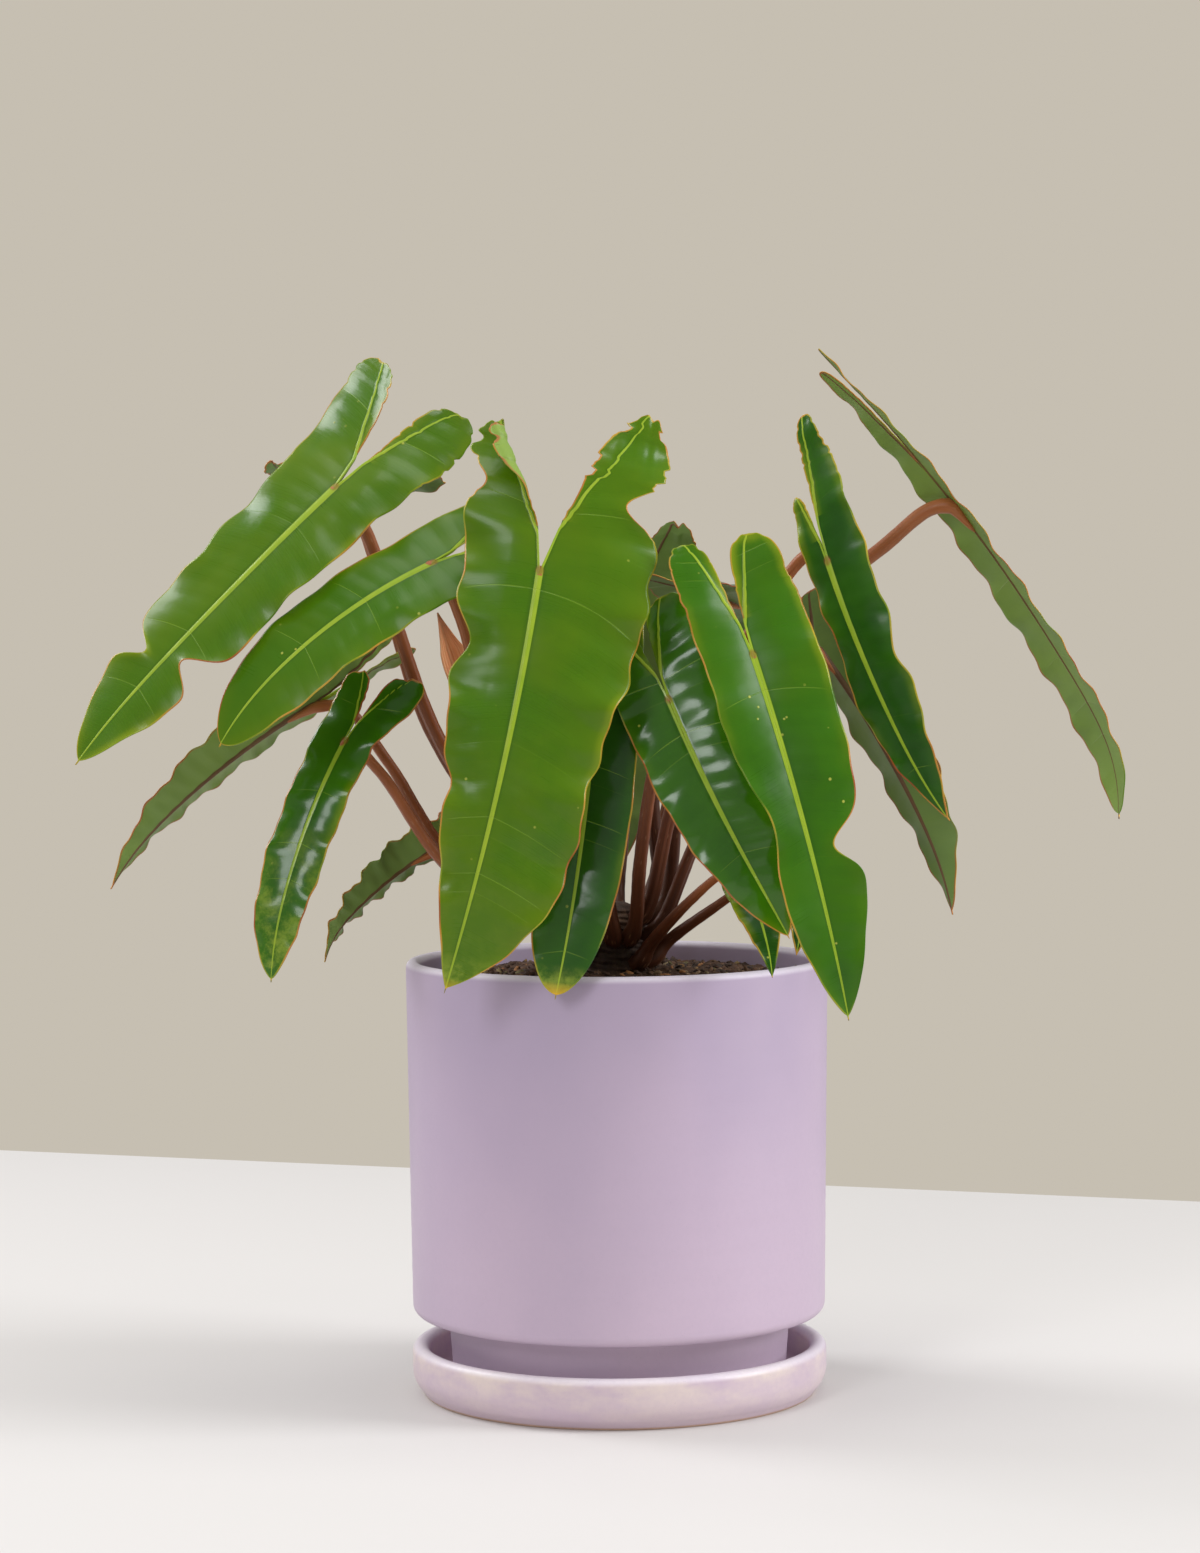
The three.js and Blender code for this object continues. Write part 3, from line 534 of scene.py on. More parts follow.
def glaze(name, pale, deep, creamy, rough, rim):
    """A satin glaze: its colour drifts softly and goes from deep near the rim, at that height in metres, to
    pale low down, which is painted light from the table's bounce. It is palest over the rim, where the
    glaze thins and a painted highlight runs along it. It has fine pores and, where creamy, soft cream
    clouds and a bare brown foot."""
    finish = Finish(name, IOR=1.5, Coat_Roughness=0.3, Coat_IOR=1.5)
    finish.surface.inputs["Coat Weight"].default_value = 0.12
    place = finish.places()
    high = finish.split(place)[2]
    drift = finish.noise(finish.stretch(place, 1.0, 1.0, 0.6), 9.0, 3.0, 0.55)
    grain = finish.noise(place, 420.0, 3.0, 0.65)
    # deep high up to pale low down is painted light, the table's bounce lighting the lower wall; the soft
    # drift is the glaze's own
    colour = finish.blend(drift.rise(0.3, 0.7) * 0.4 + high.rise(rim, rim * 0.15) * 0.6, deep, pale)
    cloud = finish.noise(finish.stretch(place, 1.0, 1.0, 2.2), 26.0, 4.0, 0.6)
    run = cloud.rise(0.32, 0.68) * (high * 40.0 + 0.1).least(1.0)
    colour = finish.blend(run * creamy, colour, (0.82, 0.71, 0.60))
    # a paler band over the rim: partly the glaze thinning there, partly a painted highlight along the rim
    colour = finish.blend(high.rise(rim - 0.0035, rim - 0.0008) * 0.7, colour, (0.82, 0.76, 0.84))
    colour = finish.blend(grain.rise(0.35, 0.75) * 0.1, colour, (0.42, 0.34, 0.46))
    pore = finish.cells(place, 700.0).rise(0.16, 0.07) * finish.noise(place, 120.0, 1.0).rise(0.5, 0.62)
    colour = finish.blend(pore * 0.4, colour, (0.36, 0.28, 0.36))
    bare = high.rise(0.0016, 0.0006)
    colour = finish.blend(bare * creamy, colour, (0.55, 0.33, 0.17))
    height = drift * 0.9 + grain * 0.05 + pore * -0.15
    return finish.done(colour, grain * 0.14 + rough, height, 0.0006, 0.5)


def damp_peat():
    """Crumbly dark peat: near black in the hollows, brown on the crumbs, with fine fibres."""
    finish = Finish("damp_peat", IOR=1.4)
    place = finish.places()
    crumb = finish.noise(place, 260.0, 5.0, 0.7)
    patchy = finish.noise(place, 40.0, 3.0)
    colour = finish.colours(
        crumb * 0.7 + patchy * 0.4, (0.3, (0.014, 0.007, 0.004)), (0.5, (0.05, 0.023, 0.012)),
        (0.65, (0.11, 0.052, 0.026)), (0.85, (0.22, 0.12, 0.06)))
    return finish.done(colour, crumb * 0.2 + 0.72, crumb, 0.0012, 0.9)


def bark_chips():
    """Chips of bark, coir and grit: each chip keeps one colour from near black through tan to olive and
    orange, with grain along it."""
    finish = Finish("bark_chips", IOR=1.45)
    kind = finish.split(finish.held("chip_kind"))[0]
    grain = finish.noise(finish.places(), 500.0, 3.0, 0.7)
    colour = finish.colours(
        kind, (0.0, (0.022, 0.010, 0.006)), (0.5, (0.085, 0.036, 0.018)), (0.72, (0.17, 0.085, 0.04)),
        (0.84, (0.30, 0.19, 0.10)), (0.91, (0.15, 0.14, 0.045)), (0.97, (0.38, 0.16, 0.05)))
    colour = finish.blend(grain.rise(0.3, 0.7) * 0.5, colour, (0.03, 0.018, 0.01))
    return finish.done(colour, grain * 0.2 + 0.65, grain, 0.0005, 0.7)


def crown_bark():
    """Rough dark brown bark with paler scar rings and dry fibres."""
    finish = Finish("crown_bark", IOR=1.45)
    place = finish.places()
    rough = finish.noise(finish.stretch(place, 1.0, 1.0, 0.35), 300.0, 5.0, 0.7)
    ring = finish.noise(finish.stretch(place, 0.2, 0.2, 1.0), 160.0, 2.0)
    colour = finish.colours(
        rough * 0.7 + ring * 0.4, (0.3, (0.015, 0.009, 0.006)), (0.55, (0.06, 0.032, 0.02)),
        (0.75, (0.16, 0.09, 0.05)), (0.9, (0.30, 0.20, 0.12)))
    return finish.done(colour, rough * 0.2 + 0.68, rough, 0.0012, 0.9)


def dry_sheath():
    """Papery and ribbed lengthwise: orange pink, paler along the ribs, browner towards its tip."""
    finish = Finish("dry_sheath", IOR=1.45, Subsurface_Weight=0.1, Subsurface_Scale=0.002)
    around, along, high = finish.split(finish.held("stalk_map"))
    rib = finish.noise(finish.join(around * 16.0, along * 0.02, 0.0), 1.0, 3.0, 0.6)
    patchy = finish.noise(finish.places(), 60.0, 3.0)
    colour = finish.colours(rib * 0.8 + patchy * 0.3, (0.3, (0.42, 0.12, 0.04)), (0.5, (0.74, 0.30, 0.12)),
                            (0.75, (0.86, 0.50, 0.28)))
    colour = finish.blend(high.rise(0.9, 1.0) * 0.6, colour, (0.16, 0.07, 0.035))
    return finish.done(colour, rib * 0.2 + 0.5, rib, 0.0006, 0.8)


# ---- pot, saucer and soil -----------------------------------------------------------------------------
def arc(r, z, radius, start, end, steps):
    """Points round a circle of that radius about (r, z), from one angle in degrees to another."""
    a = np.radians(np.linspace(start, end, steps + 1))
    return np.stack([r + radius * np.cos(a), z + radius * np.sin(a)], -1)


def even(profile, step):
    """The same broken line with points added so that none are further apart than step."""
    out = []
    for a, b in zip(profile[:-1], profile[1:]):
        n = max(1, int(np.ceil(np.linalg.norm(b - a) / step)))
        out.append(a + (b - a) * (np.arange(n) / n)[:, None])
    return np.concatenate(out + [profile[-1:]])


def turned(profile, wobble=None):
    """A surface of revolution: each point (r, z) of the profile goes round the axis; wobble(angle, r, z)
    adds to the radius. Returns points and cells."""
    angle = circle(TURNS)
    r, z = profile[:, :1] + np.zeros(TURNS), profile[:, 1:] + np.zeros(TURNS)
    a = angle + np.zeros_like(r)
    if wobble is not None:
        r = np.where(r > 0.01, r + wobble(a, r, z), r)
    points = np.stack([r * np.cos(a), r * np.sin(a), z], -1).reshape(-1, 3)
    return points, patch(len(profile), TURNS, wrap=True, flip=True)


def thrown(depth, seed):
    """The slight unevenness of a thrown and glazed wall: slow waves round it and up it, of that depth."""
    rng = np.random.default_rng(seed)
    phases = rng.uniform(0, 2 * np.pi, 6)

    def wobble(a, r, z):
        slow = np.sin(2 * a + phases[0]) + 0.6 * np.sin(3 * a + z * 0.02 + phases[1])
        rings = 0.5 * np.sin(z * 0.55 + 0.4 * np.sin(a + phases[2])) + 0.3 * np.sin(z * 1.3 + phases[3] + a)
        return depth * (slow + rings)

    return wobble


def pot(finish):
    """The pot's section, from the drain hole out under the foot, up the outside, over the rounded rim and
    down the inside, turned round the axis."""
    outer = POT_RADIUS - POT_TAPER
    foot = FOOT_RADIUS - FOOT_TAPER
    rim = POT_WALL / 2
    profile = np.concatenate([
        [(DRAIN_RADIUS, POT_INSIDE_FLOOR - 1), (DRAIN_RADIUS, FOOT_BOTTOM + 1)],
        arc(DRAIN_RADIUS + 1, FOOT_BOTTOM + 1, 1, 180, 270, 4),
        arc(foot - 2, FOOT_BOTTOM + 2, 2, -90, 0, 6),
        arc(FOOT_RADIUS + 1.5, BODY_BOTTOM - 1.5, 1.5, 180, 90, 5),
        arc(outer - POT_EDGE, BODY_BOTTOM + POT_EDGE, POT_EDGE, -90, 0, 12),
        arc(POT_RADIUS - rim, TOTAL_HEIGHT - rim, rim, 0, 180, 20),
        arc(outer - POT_WALL - 8, BODY_BOTTOM + POT_FLOOR + 8, 8, 0, -60, 8),
        arc(foot - POT_FLOOR - 3, POT_INSIDE_FLOOR + 3, 3, 0, -90, 5),
        [(DRAIN_RADIUS + 1, POT_INSIDE_FLOOR), (DRAIN_RADIUS, POT_INSIDE_FLOOR - 1)]])
    points, quads = turned(even(profile, 2.5)[:-1], thrown(0.09, 4))
    rows = len(points) // TURNS
    last = np.arange(TURNS) + (rows - 1) * TURNS
    ring = np.arange(TURNS)
    join = np.stack([last, np.roll(last, -1), np.roll(ring, -1), ring], -1)
    return new_piece("lavender_pot", points, np.concatenate([quads, join]), finish, ["pot"])


def saucer(finish):
    """The saucer's section from the middle of its underside out, up the bellied wall, over the rounded rim
    and across the floor, turned round the axis."""
    rim = SAUCER_WALL / 2
    inner = SAUCER_RADIUS - SAUCER_WALL
    profile = np.concatenate([
        [(0, 0)],
        arc(SAUCER_BASE_RADIUS - 1, 1, 1, -90, -40, 3),
        arc(SAUCER_RADIUS - 12, 12, 12, -48, 0, 12),
        arc(SAUCER_RADIUS - rim, SAUCER_HEIGHT - rim, rim, 0, 180, 20),
        arc(inner - 3.5, SAUCER_FLOOR + 3.5, 3.5, 0, -90, 8),
        [(0, SAUCER_FLOOR)]])
    points, quads = turned(even(profile, 2.5), thrown(0.09, 9))
    points[:, 2] = np.maximum(points[:, 2], 0)
    return new_piece("lavender_saucer", points, quads, finish, ["saucer"])


def soil_height(x, y):
    """The soil's surface: a low mound that falls to the wall, with lumps of three sizes on it."""
    r = np.hypot(x, y)
    level = CROWN_RADIUS + 1
    mound = SOIL_TOP - SOIL_MOUND * within((r - level) / (SOIL_RADIUS - level)) ** 1.2
    coarse = (lumps(x, y, 14, 1) - 0.5) * 2.4
    middle = (lumps(x, y, 5, 2) - 0.5) * 1.8 + np.abs(lumps(x, y, 3.1, 5) - 0.5) * 1.6
    fine = (lumps(x, y, 1.7, 3) - 0.5) * 1.0 + (lumps(x, y, 0.9, 4) - 0.5) * 0.5
    return mound - 0.6 + coarse + middle + fine


def soil(finish):
    """A disc of crumbly surface in polar steps, with a wall down the pot's inside and a flat base."""
    wide, narrow = SOIL_RADIUS, FOOT_RADIUS - FOOT_TAPER - POT_FLOOR - FIT_GAP
    rings, turns = 84, 420
    r = wide * np.linspace(0, 1, rings) ** 0.8
    a = circle(turns)
    x, y = r[:, None] * np.cos(a), r[:, None] * np.sin(a)
    top = np.stack([x, y, soil_height(x, y)], -1)
    step, base = BODY_BOTTOM + POT_FLOOR, POT_INSIDE_FLOOR + FIT_GAP
    low = np.array([(wide, SOIL_TOP - 20), (wide, step + 9), (narrow, step + 1), (narrow, base), (0, base)])
    out, high = low[:, :1], low[:, 1:]
    wall = np.stack([out * np.cos(a), out * np.sin(a), high + 0 * a], -1)
    points = np.concatenate([top, wall]).reshape(-1, 3)
    quads = patch(rings + len(low), turns, wrap=True)
    return new_piece("potting_soil", points, quads, finish, ["soil"])


def chips(finish):
    """Scattered chips: each a small squashed ball of five rings by seven, its surface pushed in and out at
    random, turned at random and half sunk into the soil."""
    rng = np.random.default_rng(21)
    count, rings, turns, spread = 1100, 5, 7, 87
    r, a = spread * np.sqrt(rng.uniform(0.035, 1, count)), rng.uniform(0, 2 * np.pi, count)
    x, y = r * np.cos(a), r * np.sin(a)
    size = 0.5 + 1.7 * rng.uniform(0, 1, count) ** 2
    shape = np.stack([size * rng.uniform(0.8, 2.2, count), size * rng.uniform(0.5, 1.0, count),
                      size * rng.uniform(0.25, 0.7, count)], -1)
    up = np.linspace(0, np.pi, rings)
    around = circle(turns)
    ball = np.stack([np.sin(up)[:, None] * np.cos(around), np.sin(up)[:, None] * np.sin(around),
                     np.cos(up)[:, None] + 0 * around], -1)
    bumps = 1 + 0.3 * rng.uniform(-1, 1, (count, rings, turns, 1))
    bumps[:, 0], bumps[:, -1] = bumps[:, :1, :1, 0], bumps[:, -1:, :1, 0]
    grains = ball[None] * bumps * shape[:, None, None]
    turn, tilt = rng.uniform(0, 2 * np.pi, count), rng.normal(0, 0.35, count)
    zero, one = np.zeros(count), np.ones(count)
    c, s = np.cos(tilt), np.sin(tilt)
    lean = np.stack([c, zero, -s, zero, one, zero, s, zero, c], -1).reshape(-1, 3, 3)
    c, s = np.cos(turn), np.sin(turn)
    spin = np.stack([c, s, zero, -s, c, zero, zero, zero, one], -1).reshape(-1, 3, 3)
    grains = np.einsum("nrta,nab,nbc->nrtc", grains, lean, spin)
    rest = np.stack([x, y, soil_height(x, y) + shape[:, 2] * 0.35], -1)
    points = (grains + rest[:, None, None]).reshape(-1, 3)
    one_chip = patch(rings, turns, wrap=True)
    quads = (one_chip[None] + (np.arange(count) * rings * turns)[:, None, None]).reshape(-1, 4)
    kind = np.repeat(rng.uniform(0, 1, (count, 3)), rings * turns, 0)
    return new_piece("soil_chips", points, quads, finish, [], dict(chip_kind=kind))


def crown(finish):
    """A short stub: a turned outline with swollen rings where old leaves sat, bulges round it where stalks
    leave, and rough bark, all added to its radius."""
    rows, turns = 90, 120
    v = np.linspace(0, 1, rows)[:, None]
    a = circle(turns)[None]
    z = SOIL_TOP - CROWN_BURIED + 2 + v * (CROWN_HEIGHT + CROWN_BURIED - 2)
    body = CROWN_RADIUS * np.clip(1 - ((v - 0.55) / 0.62) ** 4, 0.02, 1)
    body = body * np.sqrt(within(1 - v ** 14))
    rings = 0.6 * np.sin(z * 1.1 + 1.5 * np.sin(a * 2)) + 0.5 * np.sin(z * 2.3 + a * 3)
    bark = (lumps(a * 9, z, 2.2, 31) - 0.5) * 1.6 + (lumps(a * 14, z, 0.9, 32) - 0.5) * 0.7
    seam = np.cos(a / 2) ** 20  # where the lumps' two ends meet, the bark is smooth
    r = np.maximum(body + (rings + bark * (1 - seam)) * within(4 * v * (1.15 - v)), 0)
    r[0], r[-1] = 0, 0
    points = np.stack([r * np.cos(a), r * np.sin(a), z + 0 * a], -1).reshape(-1, 3)
    quads = patch(rows, turns, wrap=True, flip=True)
    return new_piece("crown_stub", points, quads, finish, ["crown"])


# ---- leaf blades --------------------------------------------------------------------------------------
def leaf_frame(leaf):
    """The joint, the chord's length, and the ways along the chord, out of the upper face, and across."""
    joint, tip = np.array(leaf["joint"], float), np.array(leaf["tip"], float)
    length = np.linalg.norm(tip - joint)
    along = (tip - joint) / length
    looks = np.array(leaf["looks"], float)
    face = unit(looks - along * (looks @ along))
    return joint, length, along, face, np.cross(face, along)


def outline(leaf, side, t, length, seed):
    """The distances of a half's inner and outer edge from the midrib's line at places t: 0 and the half
    width times one less a power of t on the blade, with a small drip tip; on a lobe, a band that swings
    out, rounded at its end by the root of one less the ninth power of q, the place along the lobe. Narrow
    places are bell-shaped dips, the margin is slightly scalloped, and torn ends are notched."""
    i = 0 if side < 0 else 1
    waist = np.ones_like(t)
    for which, at, depth, wide in leaf["waists"]:
        if which == side:
            waist *= 1 - depth * bell(t - at, wide)
    q = within(-t * length / leaf["lobe"][i])
    x = t * length
    phase = seed * 1.7 + side
    scallop = 1 + leaf["scallop"] * (0.022 * np.sin(x / 5.3 + phase) + 0.014 * np.sin(x / 2.9 + 2 * phase))
    notch = 0.14 * lumps(x, x * 0 + seed, 4.2, seed)
    notch = notch + 0.5 * within(lumps(x, x * 0 + side, 2.3, seed + 9) - 0.62)
    torn = leaf["ragged"] * within(q * 2 - 0.5) * notch
    body = leaf["half"][i] * (1 - within(t / 0.985) ** leaf["narrows"][i]) ** leaf["blunt"]
    body = body + 2.5 * np.sqrt(within(1 - t)) * within(t) ** 4
    middle = leaf["lobe_out"][i] * q + leaf["half"][i] / 2 * (1 - q)
    half = leaf["half"][i] / 2 * (1 - q) + leaf["lobe_half"][i] * q
    rounded = np.sqrt(within(1 - q ** 9))
    inner = np.where(t < 0, middle - half * (1 - q + q * rounded) + half * torn * 1.4, 0)
    lobe = inner + (middle + half * rounded - inner) * waist * (scallop - torn)
    return inner, np.where(t < 0, lobe, body * waist * scallop)


def half_blade(leaf, side, seed):
    """One half of a blade's middle surface. Rows run from the lobe's end past the joint to the tip, and
    columns from the midrib or the lobe's inner edge to the margin. The midrib bows; each half stands up
    from it by its fold and bends on along a circle; the margin rises and falls in waves; the skin between
    two side veins bulges a little and billows at random; the strip inside a lobe's rib rolls over; the
    lobe's end is torn along its length; and the blade hooks by a bell near the tip."""
    joint, length, along, face, across = leaf_frame(leaf)
    i = 0 if side < 0 else 1
    detail = np.clip(length / 130, 0.45, 1.15)
    lobe_rows, body_rows = int(62 * detail), int(128 * detail)
    columns = int(44 * np.clip(leaf["half"][i] / 28, 0.5, 1.1))
    q = np.linspace(1, 0, lobe_rows, endpoint=False)
    q = 0.3 * q + 0.7 * np.sin(np.pi / 2 * q)
    t = np.linspace(0, 1, body_rows)
    t = 0.3 * t + 0.7 * np.sin(np.pi / 2 * t)
    t = np.concatenate([-q * leaf["lobe"][i] / length, t])[:, None]
    q = within(-t * length / leaf["lobe"][i])
    v = (np.linspace(0, 1, columns) ** 1.35)[None]
    inner, outer = outline(leaf, side, t, length, seed)
    y = inner + (outer - inner) * v
    wide = np.maximum(outer, 1)

    # the lobe's rib leaves the inner edge and moves into the lobe
    rib_at = inner + (outer - inner) * leaf["lane"][i] * within((q - 0.25) / 0.7)
    slope = -0.06 + 0.27 * np.tanh(t * length / 26)
    count = (t * length - slope * y - 0.0035 * y * y) / VEIN_GAP + 40 + seed * 7

    fold = np.radians(leaf["fold"][i]) * (1 - 0.4 * within(t))
    bend = np.radians(leaf["curl"][i]) / leaf["half"][i]
    angle = fold + bend * y
    sideways = (np.sin(angle) - np.sin(fold)) / bend
    upwards = (np.cos(fold) - np.cos(angle)) / bend
    rise, waves = leaf["waves"]
    lag = seed * 2.1 + side * 0.9
    ripple = np.sin(2 * np.pi * waves * t + lag) + 0.45 * np.sin(2 * np.pi * waves * 2.3 * t + 2.4 * lag)
    share = within(y / wide)
    upwards = upwards + rise * ripple * share ** 2.2 * within((1 - t) * 5)
    swell = 0.5 - 0.5 * np.cos(2 * np.pi * count)
    middle_of_half = np.sin(np.pi * share) ** 0.8
    upwards = upwards + (0.1 + leaf["quilt"]) * (swell - 0.5) * middle_of_half * within((1 - t) * 3)

    billow = (lumps(t * length + 0 * y, side * y, 22, seed + 40) - 0.5) * 1.8
    upwards = upwards + billow * within(y / 14) * within((1 - t) * 3)

    # the strip between the lobe's rib and its inner edge turns about the rib
    strip = np.clip(rib_at - y, 0, None)
    turn = np.radians(leaf["roll"][i]) * np.clip(strip / 7, 0, 1.2) * within(q * 3)
    sideways = sideways + strip * (1 - np.cos(turn))
    upwards = upwards + strip * np.sin(turn)

    bow = np.where(t > 0, 4 * t * (1 - t), 4 * t)
    hook = leaf["droop"] * np.sin(np.pi * within(t) ** 3)
    jagged = leaf["ragged"] * 6 * (lumps(y, y * 0 + side, 2.6, seed + 70) - 0.5) * q ** 8
    up = leaf["arch"] * bow + hook + leaf["lift"] * q ** 2 + upwards
    out = leaf["sway"] * bow + side * sideways
    run = t * length + jagged
    middle = joint + run[..., None] * along + up[..., None] * face + out[..., None] * across
    rib_half = np.where(t < 0, 1.5 * (1 - 0.6 * q), 2.0 * (1 - t) ** 0.75 + 0.35) * leaf["rib"]
    off_rib = np.abs(y - rib_at) / rib_half
    margin = np.minimum(np.abs(outer - y), np.where((t < 0) & (q > 0.3), y - inner, 99))
    margin = np.minimum(margin, np.where(t < 0, (1 - q) * leaf["lobe"][i] * 0.8, (1 - t) * length) + 0 * y)
    maps = dict(
        blade_map=np.stack([t * length + 0 * y, side * y, count], -1),
        blade_marks=np.stack([np.clip(off_rib, 0, 6), np.clip(margin, 0, 30), share], -1),
    )
    return middle, t[:, 0], off_rib, q, maps


def blade_skins(leaf, seed):
    """Both halves' middle surfaces with their ways up, which agree along the midrib and at the ends."""
    halves = []
    for side in (-1, 1):
        middle, t, off_rib, q, maps = half_blade(leaf, side, seed)
        middle[0] = middle[0].mean(0)
        across = np.gradient(middle, axis=1)
        down = np.gradient(middle, axis=0)
        normal = unit(np.cross(across, down) * -side)
        normal[0], normal[-1] = normal[2], normal[-3]
        normal[0] = unit(normal[0].mean(0))
        halves.append(dict(middle=middle, t=t, off_rib=off_rib, q=q, maps=maps, normal=normal, side=side))
    left, right = halves
    rows = int((left["t"] >= 0).sum())
    shared = unit(left["normal"][-rows:, 0] + right["normal"][-rows:, 0])
    for half in halves:
        half["middle"][-rows:, 0] = left["middle"][-rows:, 0]
        half["normal"][-rows:, 0] = shared
        half["middle"][-1] = left["middle"][-1, 0]
        half["normal"][-1] = shared[-2]
    return halves


def blade(name, leaf, seed, upper, under):
    """A closed thin sheet: the middle surface pushed out along its way up and back by half the thickness,
    by a low rounded rib above and by a stouter one beneath, and closed along its edges."""
    points, quads, below, extras = [], [], [], dict(blade_map=[], blade_marks=[])
    start = 0
    for half in blade_skins(leaf, seed):
        rows, columns = half["middle"].shape[:2]
        rib = within(1 - half["off_rib"] ** 2) ** 1.5
        fade = np.where(half["t"][:, None] < 0, 1 - 0.8 * half["q"], 1 - 0.85 * half["t"][:, None])
        fade = fade * np.ones((rows, columns))
        fade[0] = fade[-1] = 0
        count, margin = half["maps"]["blade_map"][..., 2], half["maps"]["blade_marks"][..., 1]
        vein = bell(np.abs(count % 1 - 0.5) - 0.5, 0.07)
        vein = vein * within(margin / 6) * within(half["off_rib"] - 0.8)
        over = BLADE_EDGE / 2 + (0.75 * rib * fade - 0.08 * vein) * leaf["rib"]
        beneath = BLADE_EDGE / 2 + (1.7 * rib * fade + 0.22 * vein) * leaf["rib"]
        over[[0, -1]] = beneath[[0, -1]] = BLADE_EDGE / 2
        for amount, sign in ((over, 1), (beneath, -1)):
            points.append((half["middle"] + sign * amount[..., None] * half["normal"]).reshape(-1, 3))
            flip = (half["side"] > 0) == (sign > 0)
            cells = patch(rows, columns, start, flip=not flip)
            quads.append(cells)
            below.append(np.full(len(cells), sign < 0))
            for key in extras:
                extras[key].append(half["maps"][key].reshape(-1, 3))
            start += rows * columns
        top = start - 2 * rows * columns + np.arange(rows * columns).reshape(rows, columns)
        low = top + rows * columns
        edge = np.stack([top[:-1, -1], top[1:, -1], low[1:, -1], low[:-1, -1]], -1)
        sinus = int((half["t"] < 0).sum())
        inner = np.stack([top[:sinus, 0], low[:sinus, 0], low[1:sinus + 1, 0], top[1:sinus + 1, 0]], -1)
        for strip in (edge, inner):
            quads.append(strip if half["side"] > 0 else strip[:, ::-1])
            below.append(np.zeros(len(strip), bool))
    points, quads, below = np.concatenate(points), np.concatenate(quads), np.concatenate(below)
    extras = {k: np.concatenate(v) for k, v in extras.items()}
    points[:, 2] += SOIL_TOP
    place = extras["blade_map"][:, 0] / leaf_frame(leaf)[1]
    age = leaf["spots"] * within(place * 1.6 - 0.5)
    age = age + leaf["gold"] * 2 * within((place - 0.9) * 10)
    age = age + 3 * within((place - 0.982) * 70)  # the very tip is dead
    extras["leaf_look"] = np.stack([leaf["tone"] + 0 * place, age, leaf["shine"] + 0 * place], -1)
    return new_piece(f"{name}_leaf", points, quads, upper, [f"{name}_blade"], extras,
                     under=(below, under))


# ---- stalks -------------------------------------------------------------------------------------------
def smooth_line(knots, steps):
    """Points along a centripetal Catmull-Rom curve through the knots, evenly spaced by length."""
    p = np.concatenate([[2 * knots[0] - knots[1]], knots, [2 * knots[-1] - knots[-2]]])
    out = []
    for a, b, c, d in zip(p[:-3], p[1:-2], p[2:-1], p[3:]):
        gaps = np.linalg.norm(np.array([b - a, c - b, d - c]), axis=1) ** 0.5
        t = np.concatenate([[0], np.cumsum(gaps)])
        u = np.linspace(t[1], t[2], 40, endpoint=False)[:, None]
        at = lambda m, n, i, j: m * (t[j] - u) / (t[j] - t[i]) + n * (u - t[i]) / (t[j] - t[i])
        first, second, third = at(a, b, 0, 1), at(b, c, 1, 2), at(c, d, 2, 3)
        out.append(at(at(first, second, 0, 2), at(second, third, 1, 3), 1, 2))
    line = np.concatenate(out + [knots[-1:]])
    run = np.concatenate([[0], np.cumsum(np.linalg.norm(np.diff(line, axis=0), axis=1))])
    even_run = np.linspace(0, run[-1], steps)
    return np.stack([np.interp(even_run, run, line[:, k]) for k in range(3)], -1), even_run


def bar(name, line, run, radii, ring, share, finish, node, across=(0.3, 0.1, 1.0)):
    """A closed bar: a ring of points carried along a line without twisting, scaled by the radius at each
    point, and shut by a point at each end; across is roughly the ring's second way at the start. The stalk
    map holds the share given round the ring, millimetres along the bar, and the share of the way along."""
    ahead = unit(np.gradient(line, axis=0))
    side = np.zeros_like(line)
    side[0] = unit(np.cross(ahead[0], across))
    for k in range(1, len(line)):
        side[k] = unit(side[k - 1] - ahead[k] * (side[k - 1] @ ahead[k]))
    up = np.cross(ahead, side)
    section = side[:, None] * ring[None, :, :1] + up[:, None] * ring[None, :, 1:]
    start, end = (np.repeat(line[k, None, None], len(ring), 1) for k in (0, -1))
    points = np.concatenate([start, line[:, None] + section * radii[:, None, None], end])
    points[..., 2] += SOIL_TOP
    runs = np.concatenate([run[:1], run, run[-1:]])[:, None]
    level = np.zeros((len(runs), len(ring)))
    held = np.stack([share + level, runs + level, runs / run[-1] + level], -1).reshape(-1, 3)
    quads = patch(len(points), len(ring), wrap=True, flip=True)
    return new_piece(name, points.reshape(-1, 3), quads, finish, [node], dict(stalk_map=held))


